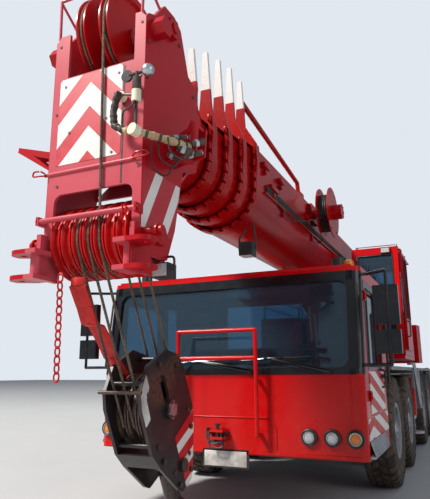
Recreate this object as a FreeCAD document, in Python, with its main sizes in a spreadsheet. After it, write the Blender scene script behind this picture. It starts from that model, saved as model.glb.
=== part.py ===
import FreeCAD, Part
import math
import os
import Sketcher

# All-terrain mobile crane, parked with its boom laid forward over the carrier cab.
# Millimetres, Z up. The crane faces -Y and its left side is +X.

doc = FreeCAD.newDocument("MobileCrane")
sheet = doc.addObject("Spreadsheet::Sheet", "Dimensions")


class Size:
    """A number together with the spreadsheet expression that gives it."""

    def __init__(self, value, text):
        self.value = float(value)
        self.text = text

    def __add__(self, other):
        other = size_of(other)
        return Size(self.value + other.value, "(%s + %s)" % (self.text, other.text))

    def __sub__(self, other):
        other = size_of(other)
        return Size(self.value - other.value, "(%s - %s)" % (self.text, other.text))

    def __mul__(self, other):
        other = size_of(other)
        return Size(self.value * other.value, "(%s * %s)" % (self.text, other.text))

    def __truediv__(self, other):
        other = size_of(other)
        return Size(self.value / other.value, "(%s / %s)" % (self.text, other.text))

    def __radd__(self, other):
        return size_of(other) + self

    def __rsub__(self, other):
        return size_of(other) - self

    def __rmul__(self, other):
        return size_of(other) * self

    def __neg__(self):
        return Size(-self.value, "(0 - %s)" % self.text)


def size_of(item):
    if isinstance(item, Size):
        return item
    if item < 0:
        return Size(item, "(0 - %s)" % repr(-float(item)))
    return Size(item, repr(float(item)))


def dim(alias, value, note):
    """Writes one driving dimension in the spreadsheet."""
    dim.row += 1
    sheet.set("A%d" % dim.row, note)
    sheet.set("B%d" % dim.row, str(value))
    sheet.setAlias("B%d" % dim.row, alias)
    return Size(value, "Dimensions." + alias)


dim.row = 0

# Carrier
bumper_y = dim("bumper_y", -4113, "front face of the carrier cab")
carrier_half = dim("carrier_half", 1490, "half width of the deck")
carrier_len = dim("carrier_len", 10600, "bumper to tail")
frame_half = dim("frame_half", 420, "half width of the main girder")
frame_low = dim("frame_low", 800, "underside of the main girder")
frame_top = dim("frame_top", 1330, "top of the main girder")
deck_low = dim("deck_low", 1450, "underside of the deck plate")
deck_top = dim("deck_top", 1500, "top of the deck plate")
axle_1 = dim("axle_1", 2400, "first axle behind the bumper")
axle_2 = dim("axle_2", 4050, "second axle behind the bumper")
axle_3 = dim("axle_3", 6950, "third axle behind the bumper")
axle_4 = dim("axle_4", 8600, "fourth axle behind the bumper")
# Wheels
tyre_r = dim("tyre_r", 685, "tyre radius")
tyre_w = dim("tyre_w", 390, "tyre width")
rim_r = dim("rim_r", 318, "rim radius")
wheel_x = dim("wheel_x", 1275, "wheel centre from the middle")
kingpin_x = dim("kingpin_x", 950, "kingpin from the middle")
kingpin_r = dim("kingpin_r", 42, "kingpin radius")
spindle_r = dim("spindle_r", 60, "wheel spindle radius")
running_gap = dim("running_gap", 0.1, "radial play of a turning fit")
beam_high = dim("beam_high", 160, "height of an axle beam")
# Outriggers
jack_front = dim("jack_front", 5350, "front outriggers behind the bumper")
jack_tail = dim("jack_tail", 550, "rear outriggers before the tail")
jack_rear = carrier_len - jack_tail
jack_beam = dim("jack_beam", 230, "width of an outrigger beam")
jack_high = dim("jack_high", 300, "height of an outrigger beam")
jack_z = dim("jack_z", 950, "middle of the outrigger beams")
jack_play = dim("jack_play", 6, "gap about an outrigger beam")
jack_wall = dim("jack_wall", 24, "wall of an outrigger housing")
leg_x = dim("leg_x", 1372, "outrigger leg from the middle")
leg_r = dim("leg_r", 75, "outrigger leg tube radius")
rod_r = dim("leg_rod_r", 50, "outrigger leg rod radius")
# Superstructure
slew_s = dim("slew_s", 6200, "slewing centre behind the bumper")
slew_r = dim("slew_r", 700, "slewing ring radius")
slew_z = dim("slew_z", 1540, "top of the fixed slewing ring")
table_low = dim("table_low", 1545, "underside of the turntable plate")
table_top = dim("table_top", 1620, "top of the turntable plate")
# Boom
pivot_s = dim("pivot_s", 8450, "boom pivot behind the bumper")
pivot_z = dim("pivot_z", 3380, "boom pivot height")
boom_half = dim("boom_half", 450, "half width of the boom base")
boom_arc_z = dim("boom_arc_z", 3400, "centre of the round boom belly")
boom_top = dim("boom_top", 3960, "top of the boom base")
boom_wall = dim("boom_wall", 12, "boom plate")
boom_step = dim("boom_step", 37, "each boom section is this much smaller all round")
collar_front = dim("collar_front", -50, "boom base collar behind the bumper")
collar_step = dim("collar_step", 300, "from one collar to the next")
collar_len = dim("collar_len", 110, "length of a collar")
collar_out = dim("collar_out", 24, "a collar stands out this much")
collar_play = dim("collar_play", 6, "gap of a collar about the next section")
# Cylinder
foot_s = dim("foot_s", 6450, "luffing cylinder foot behind the bumper")
foot_z = dim("foot_z", 1815, "luffing cylinder foot height")
eye_s = dim("eye_s", 3200, "luffing cylinder eye behind the bumper")
eye_z = dim("eye_z", 2800, "luffing cylinder eye height")
# Head
head_face = dim("head_face", -2240, "front face of the boom head behind the bumper")
head_back = dim("head_back", -1400, "back of the boom head behind the bumper")
head_half = dim("head_half", 425, "half width of the boom head")
cheek = dim("cheek", 40, "thickness of a head cheek")
shaft_s = dim("shaft_s", -1990, "lower sheave shaft behind the bumper")
shaft_z = dim("shaft_z", 2390, "lower sheave shaft height")
shaft_r = dim("shaft_r", 45, "sheave shaft radius")
top_shaft_s = dim("top_shaft_s", -1880, "top sheave shaft behind the bumper")
top_shaft_z = dim("top_shaft_z", 4150, "top sheave shaft height")
top_sheave_r = dim("top_sheave_r", 400, "top sheave radius")
sheave_r = dim("sheave_r", 285, "sheave radius")
sheave_w = dim("sheave_w", 84, "sheave width")
sheave_pitch = dim("sheave_pitch", 96, "from one sheave to the next")
jib_pin_r = dim("jib_pin_r", 25, "hole in a jib lug")
rope_r = dim("rope_r", 11, "hoist rope radius")
# Hook block
lean = dim("lean", 27, "the tied-back falls lean this many degrees")
fall_len = dim("fall_len", 1400, "from the head shaft to the block shaft")
block_half = dim("block_half", 170, "half width of the hook block")
block_sheave_r = dim("block_sheave_r", 285, "hook block sheave radius")
block_wide = dim("block_wide", 360, "half width of a hook block cheek")
rope_seat = dim("rope_seat", 0.4, "gap between a rope and its groove")
# Mudguards
guard_in = dim("guard_in", 1070, "inner edge of a mudguard from the middle")
guard_out = dim("guard_out", 1478, "outer edge of a mudguard from the middle")
guard_gap = dim("guard_gap", 56, "mudguard over its tyre")
guard_t = dim("guard_t", 12, "mudguard thickness")
# Carrier cab
cab_half = dim("cab_half", 1470, "half width of the carrier cab")
cab_len = dim("cab_len", 1850, "length of the carrier cab over its roof")
cab_low_len = dim("cab_low_len", 1420, "length of the carrier cab below the wheel arch")
cab_wall = dim("cab_wall", 60, "cab wall")
cab_low = dim("cab_low", 630, "lower edge of the front panel")
cab_floor = dim("cab_floor", 960, "underside of the cab floor")
cab_arch = dim("cab_arch", 1530, "underside of the cab over the wheel")
cab_top = dim("cab_top", 2470, "cab roof")
screen_low = dim("screen_low", 1400, "lower edge of the windscreen")
screen_lean = dim("screen_lean", 150, "the windscreen leans back this much")
door_front = dim("door_front", 260, "front of the cab door opening")
door_len = dim("door_len", 1020, "length of the cab door opening")
door_low = dim("door_low", 1010, "lower edge of the door opening")
door_top = dim("door_top", 2340, "upper edge of the door opening")
door_gap = dim("door_gap", 6, "gap about a door")
corner_r = dim("corner_r", 70, "radius of the cab's front corners")
pane = dim("pane", 8, "glass thickness")
tow_r = dim("tow_r", 20, "towing jaw pin hole")
hinge_r = dim("hinge_r", 7, "door hinge pin radius")
# Guard before the windscreen
guard_r = dim("guard_r", 21, "guard tube radius")
guard_s = dim("guard_s", -110, "guard frame before the bumper")
guard_half = dim("guard_half", 440, "half width of the guard frame")
# Turntable
side_x = dim("side_x", 570, "inner face of the turntable side plates")
side_t = dim("side_t", 50, "turntable side plate")
side_front = dim("side_front", 5900, "front of the turntable side plates")
side_rear = dim("side_rear", 8950, "rear of the turntable side plates")
house_half = dim("house_half", 1430, "outer face of the engine housing from the middle")
house_front = dim("house_front", 5250, "front of the engine housing")
house_rear = dim("house_rear", 8500, "rear of the engine housing")
house_top = dim("house_top", 2500, "top of the engine housing")
pin_r = dim("pin_r", 70, "boom pivot pin radius")
# Hoist winch
winch_s = dim("winch_s", 7950, "hoist winch behind the bumper")
winch_z = dim("winch_z", 2230, "hoist winch height")
drum_r = dim("drum_r", 200, "winch drum radius")
drum_half = dim("drum_half", 430, "half length of the winch drum")
flange_r = dim("flange_r", 330, "winch flange radius")
# Operator cab
ocab_in = dim("ocab_in", 620, "inner side of the operator cab")
ocab_out = dim("ocab_out", 1430, "outer side of the operator cab")
ocab_front = dim("ocab_front", 4400, "front of the operator cab behind the bumper")
ocab_len = dim("ocab_len", 1700, "length of the operator cab")
ocab_low = dim("ocab_low", 1705, "underside of the operator cab")
ocab_top = dim("ocab_top", 3620, "roof of the operator cab")
ocab_wall = dim("ocab_wall", 50, "operator cab wall")
ocab_sill = dim("ocab_sill", 2600, "lower edge of the operator cab's side windows")
rail_r = dim("rail_r", 9, "sliding door rail radius")
# Luffing cylinder's own sizes
cyl_r = dim("cyl_r", 165, "luffing cylinder radius")
cyl_rod_r = dim("cyl_rod_r", 110, "luffing cylinder rod radius")
foot_pin_r = dim("foot_pin_r", 55, "luffing cylinder foot pin radius")
eye_pin_r = dim("eye_pin_r", 50, "luffing cylinder eye pin radius")
# Fittings of the boom
reel_s = dim("reel_s", 2400, "cable reel behind the bumper")
reel_z = dim("reel_z", 3730, "cable reel height")
reel_r = dim("reel_r", 375, "cable reel flange radius")
reel_in = dim("reel_in", 600, "inner flange of the cable reel from the middle")
reel_w = dim("reel_w", 160, "between the flanges of the cable reel")
stay_x = dim("stay_x", 300, "stay tube from the middle")
stay_r = dim("stay_r", 32, "stay tube radius")
horn_in = dim("horn_in", 215, "inner foot of a collar horn from the middle")
horn_tip = dim("horn_tip", 265, "inner edge of a horn's tip from the middle")
horn_tip_w = dim("horn_tip_w", 45, "width of a horn's tip")
horn_t = dim("horn_t", 40, "thickness of a horn")
eye_lug_in = dim("eye_lug_in", 178, "inner face of a luffing cylinder lug on the boom")
eye_lug_out = dim("eye_lug_out", 228, "outer face of a luffing cylinder lug on the boom")
ledge_z = dim("ledge_z", 3425, "top of the ledge along the boom")
ledge_out = dim("ledge_out", 26, "a ledge stands out this much")
# Fittings of the head
frame_t = dim("frame_t", 25, "thickness of the head's front frame")
cross_top = dim("cross_top", 3700, "top of the head's cross plate")
high_left = dim("high_left", 290, "upper window's edge on the right of the crane, from the middle")
high_right = dim("high_right", 330, "upper window's edge on the left of the crane, from the middle")
low_window = dim("low_window", 350, "half width of the lower window")
low_window_top = dim("low_window_top", 2730, "top of the lower window")
window_r = dim("window_r", 70, "corner radius of the lower window")
jib_lug_x = dim("jib_lug_x", 510, "jib lug hole from the middle")
jib_lug_s = dim("jib_lug_s", -2330, "jib lug hole behind the bumper")
jib_lug_r = dim("jib_lug_r", 90, "jib lug's edge about its hole")
jib_lug_low = dim("jib_lug_low", 2075, "underside of the lower jib lug")
jib_lug_high = dim("jib_lug_high", 2260, "underside of the upper jib lug")
jib_lug_t = dim("jib_lug_t", 32, "thickness of a jib lug")
keeper_s = dim("keeper_s", -2297, "rope keeper behind the bumper")
keeper_z = dim("keeper_z", 2520, "rope keeper height")
gauge_s = dim("gauge_s", -2330, "wind gauge behind the bumper")
groove = dim("groove", 30, "depth of a sheave's groove")
# Hook block and hook
block_t = dim("block_t", 28, "thickness of a hook block cheek")
shank_r = dim("shank_r", 36, "hook shank radius")
crosshead_r = dim("crosshead_r", 62, "crosshead radius")
crosshead_low = dim("crosshead_low", 500, "crosshead below the block shaft")
bend_low = dim("bend_low", 940, "middle of the hook's bend below the block shaft")
bend_r = dim("bend_r", 100, "radius of the hook's bend")
hook_r = dim("hook_r", 44, "radius of the hook's bar")

doc.recompute()


def at(station):
    """Y of a place that lies this far behind the bumper."""
    return bumper_y + station


def bind(obj, prop, item):
    item = size_of(item)
    if "Dimensions" in item.text:
        obj.setExpression(prop, item.text)
    elif prop.startswith("Placement.Base.") or prop.startswith("AttachmentOffset.Base."):
        holder, _, axis = prop.split(".")
        placement = getattr(obj, holder)
        base = FreeCAD.Vector(placement.Base)
        setattr(base, axis, item.value)
        setattr(obj, holder, FreeCAD.Placement(base, placement.Rotation))
    else:
        setattr(obj, prop, item.value)


def add(kind, name="Piece"):
    return doc.addObject(kind, name)


def box(x0, x1, y0, y1, z0, z1):
    solid = add("Part::Box", "Block")
    bind(solid, "Length", size_of(x1) - x0)
    bind(solid, "Width", size_of(y1) - y0)
    bind(solid, "Height", size_of(z1) - z0)
    for axis, item in zip("xyz", (x0, y0, z0)):
        bind(solid, "Placement.Base." + axis, item)
    return solid


TURN = {
    "x": FreeCAD.Rotation(FreeCAD.Vector(0, 1, 0), 90),
    "y": FreeCAD.Rotation(FreeCAD.Vector(1, 0, 0), -90),
    "z": FreeCAD.Rotation(),
}


def rod(axis, radius, start, end, *centre):
    """A cylinder along one axis from start to end. The centre gives the other two places in x, y, z order."""
    solid = add("Part::Cylinder", "Round")
    bind(solid, "Radius", radius)
    bind(solid, "Height", size_of(end) - start)
    solid.Placement = FreeCAD.Placement(FreeCAD.Vector(), TURN[axis])
    places = list(centre)
    places.insert("xyz".index(axis), start)
    for name, item in zip("xyz", places):
        bind(solid, "Placement.Base." + name, item)
    return solid


def bar(radius, first, last):
    """A round bar between two points."""
    a = FreeCAD.Vector(*[size_of(i).value for i in first])
    b = FreeCAD.Vector(*[size_of(i).value for i in last])
    solid = add("Part::Cylinder", "Bar")
    bind(solid, "Radius", radius)
    solid.Height = (b - a).Length
    solid.Placement = FreeCAD.Placement(a, FreeCAD.Rotation(FreeCAD.Vector(0, 0, 1), b - a))
    return solid


def ball(radius, centre):
    solid = add("Part::Sphere", "Ball")
    bind(solid, "Radius", radius)
    for name, item in zip("xyz", centre):
        bind(solid, "Placement.Base." + name, item)
    return solid


def tube_path(radius, points):
    """Round tube through the points, with round corners."""
    solids = [bar(radius, a, b) for a, b in zip(points, points[1:])]
    solids += [ball(radius, p) for p in points[1:-1]]
    return solids


def fuse(name, solids):
    if len(solids) == 1:
        solids[0].Label = name
        return solids[0]
    joined = add("Part::MultiFuse", name)
    joined.Shapes = solids
    joined.Refine = True
    joined.Label = name
    return joined


def cut(name, base, tools):
    tool = tools[0] if len(tools) == 1 else fuse(name + "_tools", tools)
    result = add("Part::Cut", name)
    result.Base = base
    result.Tool = tool
    result.Refine = True
    result.Label = name
    return result


def mirrored(solid):
    """The same piece on the other side of the crane."""
    other = add("Part::Mirroring", "Other")
    other.Source = solid
    other.Normal = FreeCAD.Vector(1, 0, 0)
    other.Base = FreeCAD.Vector()
    return other


def both(solids):
    return solids + [mirrored(s) for s in solids]


def draw(sketch, loops):
    """Closed loops in a sketch. A loop is ("circle", u, v, r) or a list of corners (u, v).
    A corner (u, v, cu, cv, way) starts an arc about (cu, cv) to the next one, anticlockwise if way is 1."""
    def limit(kind, geo, point, item):
        item = size_of(item)
        index = sketch.addConstraint(Sketcher.Constraint(kind, -1, 1, geo, point, item.value))
        if "Dimensions" in item.text:
            sketch.setExpression("Constraints[%d]" % index, item.text)

    for loop in loops:
        if loop[0] == "circle":
            _, u, v, r = loop
            centre = FreeCAD.Vector(size_of(u).value, size_of(v).value, 0)
            geo = sketch.addGeometry(Part.Circle(centre, FreeCAD.Vector(0, 0, 1), size_of(r).value), False)
            limit("DistanceX", geo, 3, u)
            limit("DistanceY", geo, 3, v)
            index = sketch.addConstraint(Sketcher.Constraint("Radius", geo, size_of(r).value))
            if "Dimensions" in size_of(r).text:
                sketch.setExpression("Constraints[%d]" % index, size_of(r).text)
            continue
        corners = [FreeCAD.Vector(size_of(p[0]).value, size_of(p[1]).value, 0) for p in loop]
        edges = []
        for i, point in enumerate(loop):
            a, b = corners[i], corners[(i + 1) % len(loop)]
            if len(point) == 5:
                cu, cv, way = point[2:]
                centre = FreeCAD.Vector(size_of(cu).value, size_of(cv).value, 0)
                radius = (a - centre).Length
                first = math.atan2(a.y - centre.y, a.x - centre.x)
                last = math.atan2(b.y - centre.y, b.x - centre.x)
                sweep = (last - first) * way % (2 * math.pi) * way
                angle = first + sweep / 2
                middle = centre + FreeCAD.Vector(math.cos(angle), math.sin(angle), 0) * radius
                geo = sketch.addGeometry(Part.ArcOfCircle(a, middle, b), False)
                # an arc of a sketch always runs anticlockwise
                edges.append((geo, 1, 2) if way > 0 else (geo, 2, 1))
                if abs(b.x - a.x) > abs(b.y - a.y):
                    limit("DistanceY", geo, 3, cv)
                else:
                    limit("DistanceX", geo, 3, cu)
            else:
                geo = sketch.addGeometry(Part.LineSegment(a, b), False)
                edges.append((geo, 1, 2))
        for i, point in enumerate(loop):
            geo, start, _ = edges[i]
            before, _, end = edges[i - 1]
            sketch.addConstraint(Sketcher.Constraint("Coincident", before, end, geo, start))
            limit("DistanceX", geo, start, point[0])
            limit("DistanceY", geo, start, point[1])


ROLE = {"xy": "XY_Plane", "xz": "XZ_Plane", "yz": "YZ_Plane"}


class Body:
    """A piece that grows by padded, pocketed and turned sketches."""

    def __init__(self, name):
        self.obj = add("PartDesign::Body", name)
        self.obj.Label = name
        if hasattr(self.obj, "AllowCompound"):
            self.obj.AllowCompound = True

    def sketch(self, plane, offset, loops):
        sk = self.obj.newObject("Sketcher::SketchObject", "Sketch")
        face = [f for f in self.obj.Origin.OriginFeatures if f.Role == ROLE[plane]][0]
        sk.AttachmentSupport = [(face, "")]
        sk.MapMode = "FlatFace"
        bind(sk, "AttachmentOffset.Base.z", offset)
        draw(sk, loops)
        return sk

    def pad(self, plane, low, high, loops):
        """Fills the loops from low to high along the plane's axis."""
        start = -size_of(high) if plane == "xz" else low
        feature = self.obj.newObject("PartDesign::Pad", "Pad")
        feature.Profile = self.sketch(plane, start, loops)
        bind(feature, "Length", size_of(high) - low)
        return self

    def pocket(self, plane, low, high, loops):
        """Cuts the loops from low to high along the plane's axis."""
        start = -size_of(low) if plane == "xz" else high
        feature = self.obj.newObject("PartDesign::Pocket", "Pocket")
        feature.Profile = self.sketch(plane, start, loops)
        feature.Type = "Length"
        bind(feature, "Length", size_of(high) - low)
        return self

    def turn(self, loops, plane="xz", axis="H_Axis"):
        """Turns the loops about the sketch's own axis."""
        feature = self.obj.newObject("PartDesign::Revolution", "Turned")
        profile = self.sketch(plane, 0, loops)
        feature.Profile = profile
        feature.ReferenceAxis = (profile, [axis])
        feature.Angle = 360
        return self

    def place(self, x, y, z):
        for name, item in zip("xyz", (x, y, z)):
            bind(self.obj, "Placement.Base." + name, item)
        return self


parts = []


def hand_in(item):
    parts.append(item.obj if isinstance(item, Body) else item)


def rectangle(u0, u1, v0, v1):
    return [(u0, v0), (u1, v0), (u1, v1), (u0, v1)]


def prism(plane, low, high, *loops):
    """A straight prism. Its outline, and any holes in it, are loops on one of the main planes."""
    piece = Body("Prism")
    piece.pad(plane, low, high, list(loops))
    return piece.obj


def arch(y, z, radius, thick, first, last):
    """Outline of a bent strip about (y, z), from the first to the last angle in degrees above +Y."""
    corners = []
    for r, angle in ((radius, first), (radius, last), (radius + thick, last), (radius + thick, first)):
        turn = math.radians(angle)
        corners.append((size_of(y) + r * math.cos(turn), size_of(z) + r * math.sin(turn)))
    return [corners[0] + (y, z, 1), corners[1], corners[2] + (y, z, -1), corners[3]]


# Wheels. Columns: name, axle, side of the crane.
WHEELS = [("%d%s" % (n, side), axle, sign)
          for n, axle in enumerate((axle_1, axle_2, axle_3, axle_4), 1)
          for side, sign in (("l", 1), ("r", -1))]

for name, axle, sign in WHEELS:
    half = tyre_w / 2
    tyre = Body("tyre_" + name)
    tyre.turn([[(-half + 45, rim_r), (half - 45, rim_r), (half - 45, rim_r + 32), (half, tyre_r * 0.68),
                (half - 8, tyre_r - 60),
                (half - 45, tyre_r - 14), (half * 0.5, tyre_r), (-half * 0.5, tyre_r),
                (45 - half, tyre_r - 14),
                (8 - half, tyre_r - 60), (-half, tyre_r * 0.68), (45 - half, rim_r + 32)]])
    tyre.place(wheel_x * sign, at(axle), tyre_r)
    hand_in(tyre)
    rim = Body("rim_" + name)
    bore = spindle_r + running_gap
    s = sign
    profile = [(-150 * s, rim_r), (-150 * s, rim_r + 30), (-172 * s, rim_r + 30), (-172 * s, rim_r - 30),
               (20 * s, rim_r - 30), (20 * s, bore), (165 * s, bore), (165 * s, 100), (110 * s, 135),
               (62 * s, 150),
               (62 * s, rim_r - 40), (172 * s, rim_r - 24), (172 * s, rim_r + 30), (150 * s, rim_r + 30),
               (150 * s, rim_r)]
    rim.turn([profile])
    rim.place(wheel_x * sign, at(axle), tyre_r)
    hand_in(rim)

# Steering knuckles of the two front axles
fork = beam_high / 2 + 2
for name, axle, sign in WHEELS[:4]:
    def x(place):
        return place * sign
    def span(a, b):
        return (x(a), x(b)) if sign > 0 else (x(b), x(a))
    y = at(axle)
    pieces = [rod("z", kingpin_r, tyre_r - fork - 60, tyre_r + fork + 60, x(kingpin_x), y)]
    for low, high in ((tyre_r - fork - 50, tyre_r - fork - 6), (tyre_r + fork + 6, tyre_r + fork + 50)):
        pieces.append(rod("z", kingpin_r + 40, low, high, x(kingpin_x), y))
        pieces.append(box(*span(kingpin_x, kingpin_x + 160), y - 70, y + 70, low, high))
    pieces.append(box(*span(kingpin_x + 110, kingpin_x + 160), y - 100, y + 100, tyre_r - fork - 50,
                      tyre_r + fork + 50))
    pieces.append(rod("x", spindle_r, *span(kingpin_x + 150, wheel_x + 155), y, tyre_r))
    pieces.append(rod("x", 200, *span(kingpin_x + 160, wheel_x + 5), y, tyre_r))
    hand_in(fuse("knuckle_" + name, pieces))

# Axle beams with their suspension cylinders
pieces = []
for n, axle in enumerate((axle_1, axle_2, axle_3, axle_4)):
    y = at(axle)
    low, high = tyre_r - beam_high / 2, tyre_r + beam_high / 2
    if n < 2:
        pieces.append(box(-kingpin_x, kingpin_x, y - 70, y + 70, low, high))
        pieces += both([rod("z", kingpin_r + 38, low, high, kingpin_x, y)])
    else:
        pieces.append(box(-(wheel_x - 175), wheel_x - 175, y - 80, y + 80, low, high))
        pieces += both([rod("x", spindle_r, wheel_x - 180, wheel_x + 155, y, tyre_r),
                        rod("x", 200, wheel_x - 175, wheel_x + 5, y, tyre_r)])
    pieces.append(rod("y", 105, y - 260, y + 260, 0, tyre_r))
    for end in (-1, 1):
        pieces += both([rod("z", 48, tyre_r, frame_top - 60, frame_half + 90, y + 45 * end)])
    pieces += both([box(frame_half, frame_half + 150, y - 110, y + 110, frame_top - 110, frame_top - 40)])
beams = fuse("axle_beams_raw", pieces)
bores = []
for axle in (axle_1, axle_2):
    bores += both([rod("z", kingpin_r + running_gap, tyre_r - 300, tyre_r + 300, kingpin_x, at(axle))])
hand_in(cut("axle_beams", beams, bores))

# Main girder with the outrigger housings and the fixed slewing ring
pieces = [box(-frame_half, frame_half, at(1450), at(carrier_len - 60), frame_low, frame_top),
          box(-frame_half, frame_half, at(120), at(1450), 700, 960)]
housing_len = jack_beam * 2 + jack_play * 4 + jack_wall * 3
hollows = []
wear_pads = []
housing_half = leg_x - leg_r - 30
for station in (jack_front, jack_rear):
    y0 = at(station) - housing_len / 2
    z0 = jack_z - jack_high / 2 - jack_play
    pieces.append(box(-housing_half, housing_half, y0, y0 + housing_len, z0 - jack_wall,
                      z0 + jack_high + jack_play * 2 + jack_wall))
    for n in (0, 1):
        y1 = y0 + jack_wall + (jack_beam + jack_play * 2 + jack_wall) * n
        reach = carrier_half * 2
        hollows.append(box(-reach, reach, y1, y1 + jack_beam + jack_play * 2, z0,
                           z0 + jack_high + jack_play * 2))
        wear_pads += both([box(housing_half - 130, housing_half - 20, y1 + 30, y1 + jack_beam - 20, z0 - 2,
                               z0 + jack_play - running_gap)])
pieces.append(rod("z", slew_r + 40, frame_top, frame_top + 90, 0, at(slew_s)))
pieces.append(rod("z", slew_r, frame_top, slew_z, 0, at(slew_s)))
hollows.append(rod("z", slew_r - 140 + running_gap, frame_top + 40, slew_z + 50, 0, at(slew_s)))
frame = fuse("carrier_frame_raw", pieces)
girder = cut("carrier_frame_bored", frame, hollows)
hand_in(fuse("carrier_frame", [girder] + wear_pads))

# Outriggers. Columns: name, station, side, place in the housing
for name, station, sign, slot in (("fl", jack_front, 1, 0), ("fr", jack_front, -1, 1),
                                  ("rl", jack_rear, 1, 0), ("rr", jack_rear, -1, 1)):
    bay = jack_beam + jack_play * 2 + jack_wall
    y0 = at(station) - housing_len / 2 + jack_wall + jack_play + bay * slot
    ym = y0 + jack_beam / 2
    z0, z1 = jack_z - jack_high / 2, jack_z + jack_high / 2
    ends = (60 - housing_half, leg_x) if sign > 0 else (-leg_x, housing_half - 60)
    leg_mid = leg_x * sign
    pieces = [box(ends[0], ends[1], y0, y0 + jack_beam, z0, z1),
              rod("z", leg_r + 18, z0 - 120, z1 + 230, leg_mid, ym)]
    solid = fuse("outrigger_beam_%s_raw" % name, pieces)
    bore = rod("z", leg_r + running_gap, z0 - 200, z1 + 190, leg_mid, ym)
    hand_in(cut("outrigger_beam_" + name, solid, [bore]))
    pieces = [rod("z", leg_r, z0 - 170, z1 + 160, leg_mid, ym), rod("z", rod_r, z0 - 400, z0 - 160, leg_mid,
                                                                    ym),
              rod("z", 190, z0 - 420, z0 - 385, leg_mid, ym)]
    hand_in(fuse("outrigger_leg_" + name, pieces))

# Engine, one plain block between cab and second axle inside the girder's top
hand_in(fuse("carrier_engine", [box(-frame_half + 40, frame_half - 40, at(1500), at(1500) + 1300, frame_top,
                                    deck_low)]))

# Deck with its side boxes
deck = box(-carrier_half, carrier_half, at(1900), at(carrier_len), deck_low, deck_top)
rails = both([box(frame_half - 60, frame_half, at(2900), at(5300), frame_top, deck_low),
              box(frame_half - 60, frame_half, at(7100), at(carrier_len - 60), frame_top, deck_low)])
side_boxes = both([box(carrier_half - 440, carrier_half - 40, at(carrier_len) - 30, at(carrier_len), 1230,
                       deck_low)])
# Boxes at the deck's sides. Columns: front and rear behind the bumper, depth inwards, lower edge
for front, rear, deep, low in ((4780, 5000, 40, 1150), (5750, 6150, 520, 760), (9350, 9700, 40, 1150)):
    side_boxes += both([box(carrier_half - deep, carrier_half, at(front), at(rear), low, deck_low)])
# mudguards, flat over the steered wheels and bent over the others
guards = []
for axle in (axle_1, axle_2):
    guards += both([box(guard_in, guard_out, at(axle) - 690 + 190 * (axle is axle_1), at(axle) + 690, 1393,
                        1405),
                    box(guard_in + 30, guard_in + 70, at(axle) - 60, at(axle) + 60, 1400, deck_low + 5)])
for axle in (axle_3, axle_4):
    bent = arch(at(axle), tyre_r, tyre_r + guard_gap, guard_t, 28, 152)
    guards += [prism("yz", guard_in, guard_out, bent), prism("yz", -guard_out, -guard_in, bent)]
    guards += both([box(guard_in + 30, guard_in + 70, at(axle) - 60, at(axle) + 60, 1432, deck_low + 5)])
pieces = [deck] + rails + side_boxes + guards
solid = fuse("carrier_deck_raw", pieces)
hand_in(cut("carrier_deck", solid, [rod("z", slew_r + 60, frame_top, deck_top + 50, 0, at(slew_s)),
                                    box(-frame_half + 20, frame_half - 20, at(1800), at(2850), deck_low - 5,
                                        deck_low + 20)]))

# Carrier cab


def wall_s(z, extra=0):
    """How far behind the bumper the leaning front face is at a height."""
    return screen_lean * (size_of(z) - screen_low) / (cab_top - screen_low) + extra


shell = Body("cab_shell")
outer = [(at(0), cab_low), (at(cab_low_len), cab_low), (at(cab_low_len), cab_arch - 90),
         (at(cab_low_len) + 60, cab_arch),
         (at(cab_len), cab_arch), (at(cab_len), cab_top), (at(screen_lean), cab_top), (at(0), screen_low)]
shell.pad("yz", -cab_half, cab_half, [outer])
inner = [(at(cab_wall), cab_floor + 40), (at(cab_low_len) - cab_wall, cab_floor + 40),
         (at(cab_low_len) - cab_wall, cab_arch + 40),
         (at(cab_len) - cab_wall, cab_arch + 40), (at(cab_len) - cab_wall, cab_top - cab_wall),
         (at(screen_lean) + cab_wall, cab_top - cab_wall), (at(cab_wall), screen_low)]
shell.pocket("yz", cab_wall - cab_half, cab_half - cab_wall, [inner])
shell.pocket("yz", cab_wall - cab_half, cab_half - cab_wall,
             [rectangle(at(cab_wall), at(cab_low_len) + 50, cab_low - 50, cab_floor)])
shell.pocket("xz", at(-100), at(screen_lean) + cab_wall + 40,
             [rectangle(110 - cab_half, cab_half - 110, screen_low + 20, cab_top - 90)])
shell.pocket("xz", at(cab_len) - cab_wall - 20, at(cab_len) + 20, [rectangle(-700, 700, 1750, cab_top - 140)])
for low, high in ((-cab_half - 20, 20 + cab_wall - cab_half), (cab_half - cab_wall - 20, cab_half + 20)):
    shell.pocket("yz", low, high, [rectangle(at(door_front), at(door_front + door_len), door_low, door_top)])
    shell.pocket("yz", low, high, [rectangle(at(door_front + door_len + 90), at(cab_len) - 130, 1700,
                                             door_top - 30)])
hinge_x, hinge_s = cab_half + 16, door_front - 6
for z in (1150, 2120):
    for sign in (1, -1):
        low, high = (cab_half - 4, cab_half + 26) if sign > 0 else (-cab_half - 26, 4 - cab_half)
        for base in (z, z + 86):
            shell.pad("xy", base, base + 14, [rectangle(low, high, at(hinge_s) - 45, at(hinge_s) + 8)])
        shell.pad("xy", z + 5, z + 95, [("circle", hinge_x * sign, at(hinge_s), hinge_r)])
shell.pad("xy", 775, 797, [[(-70, at(-110)), (70, at(-110)), (90, at(0)), (-90, at(0))],
                           ("circle", 0, at(-70), tow_r)])
shell.pad("xy", 845, 867, [[(-70, at(-110)), (70, at(-110)), (90, at(0)), (-90, at(0))],
                           ("circle", 0, at(-70), tow_r)])
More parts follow.
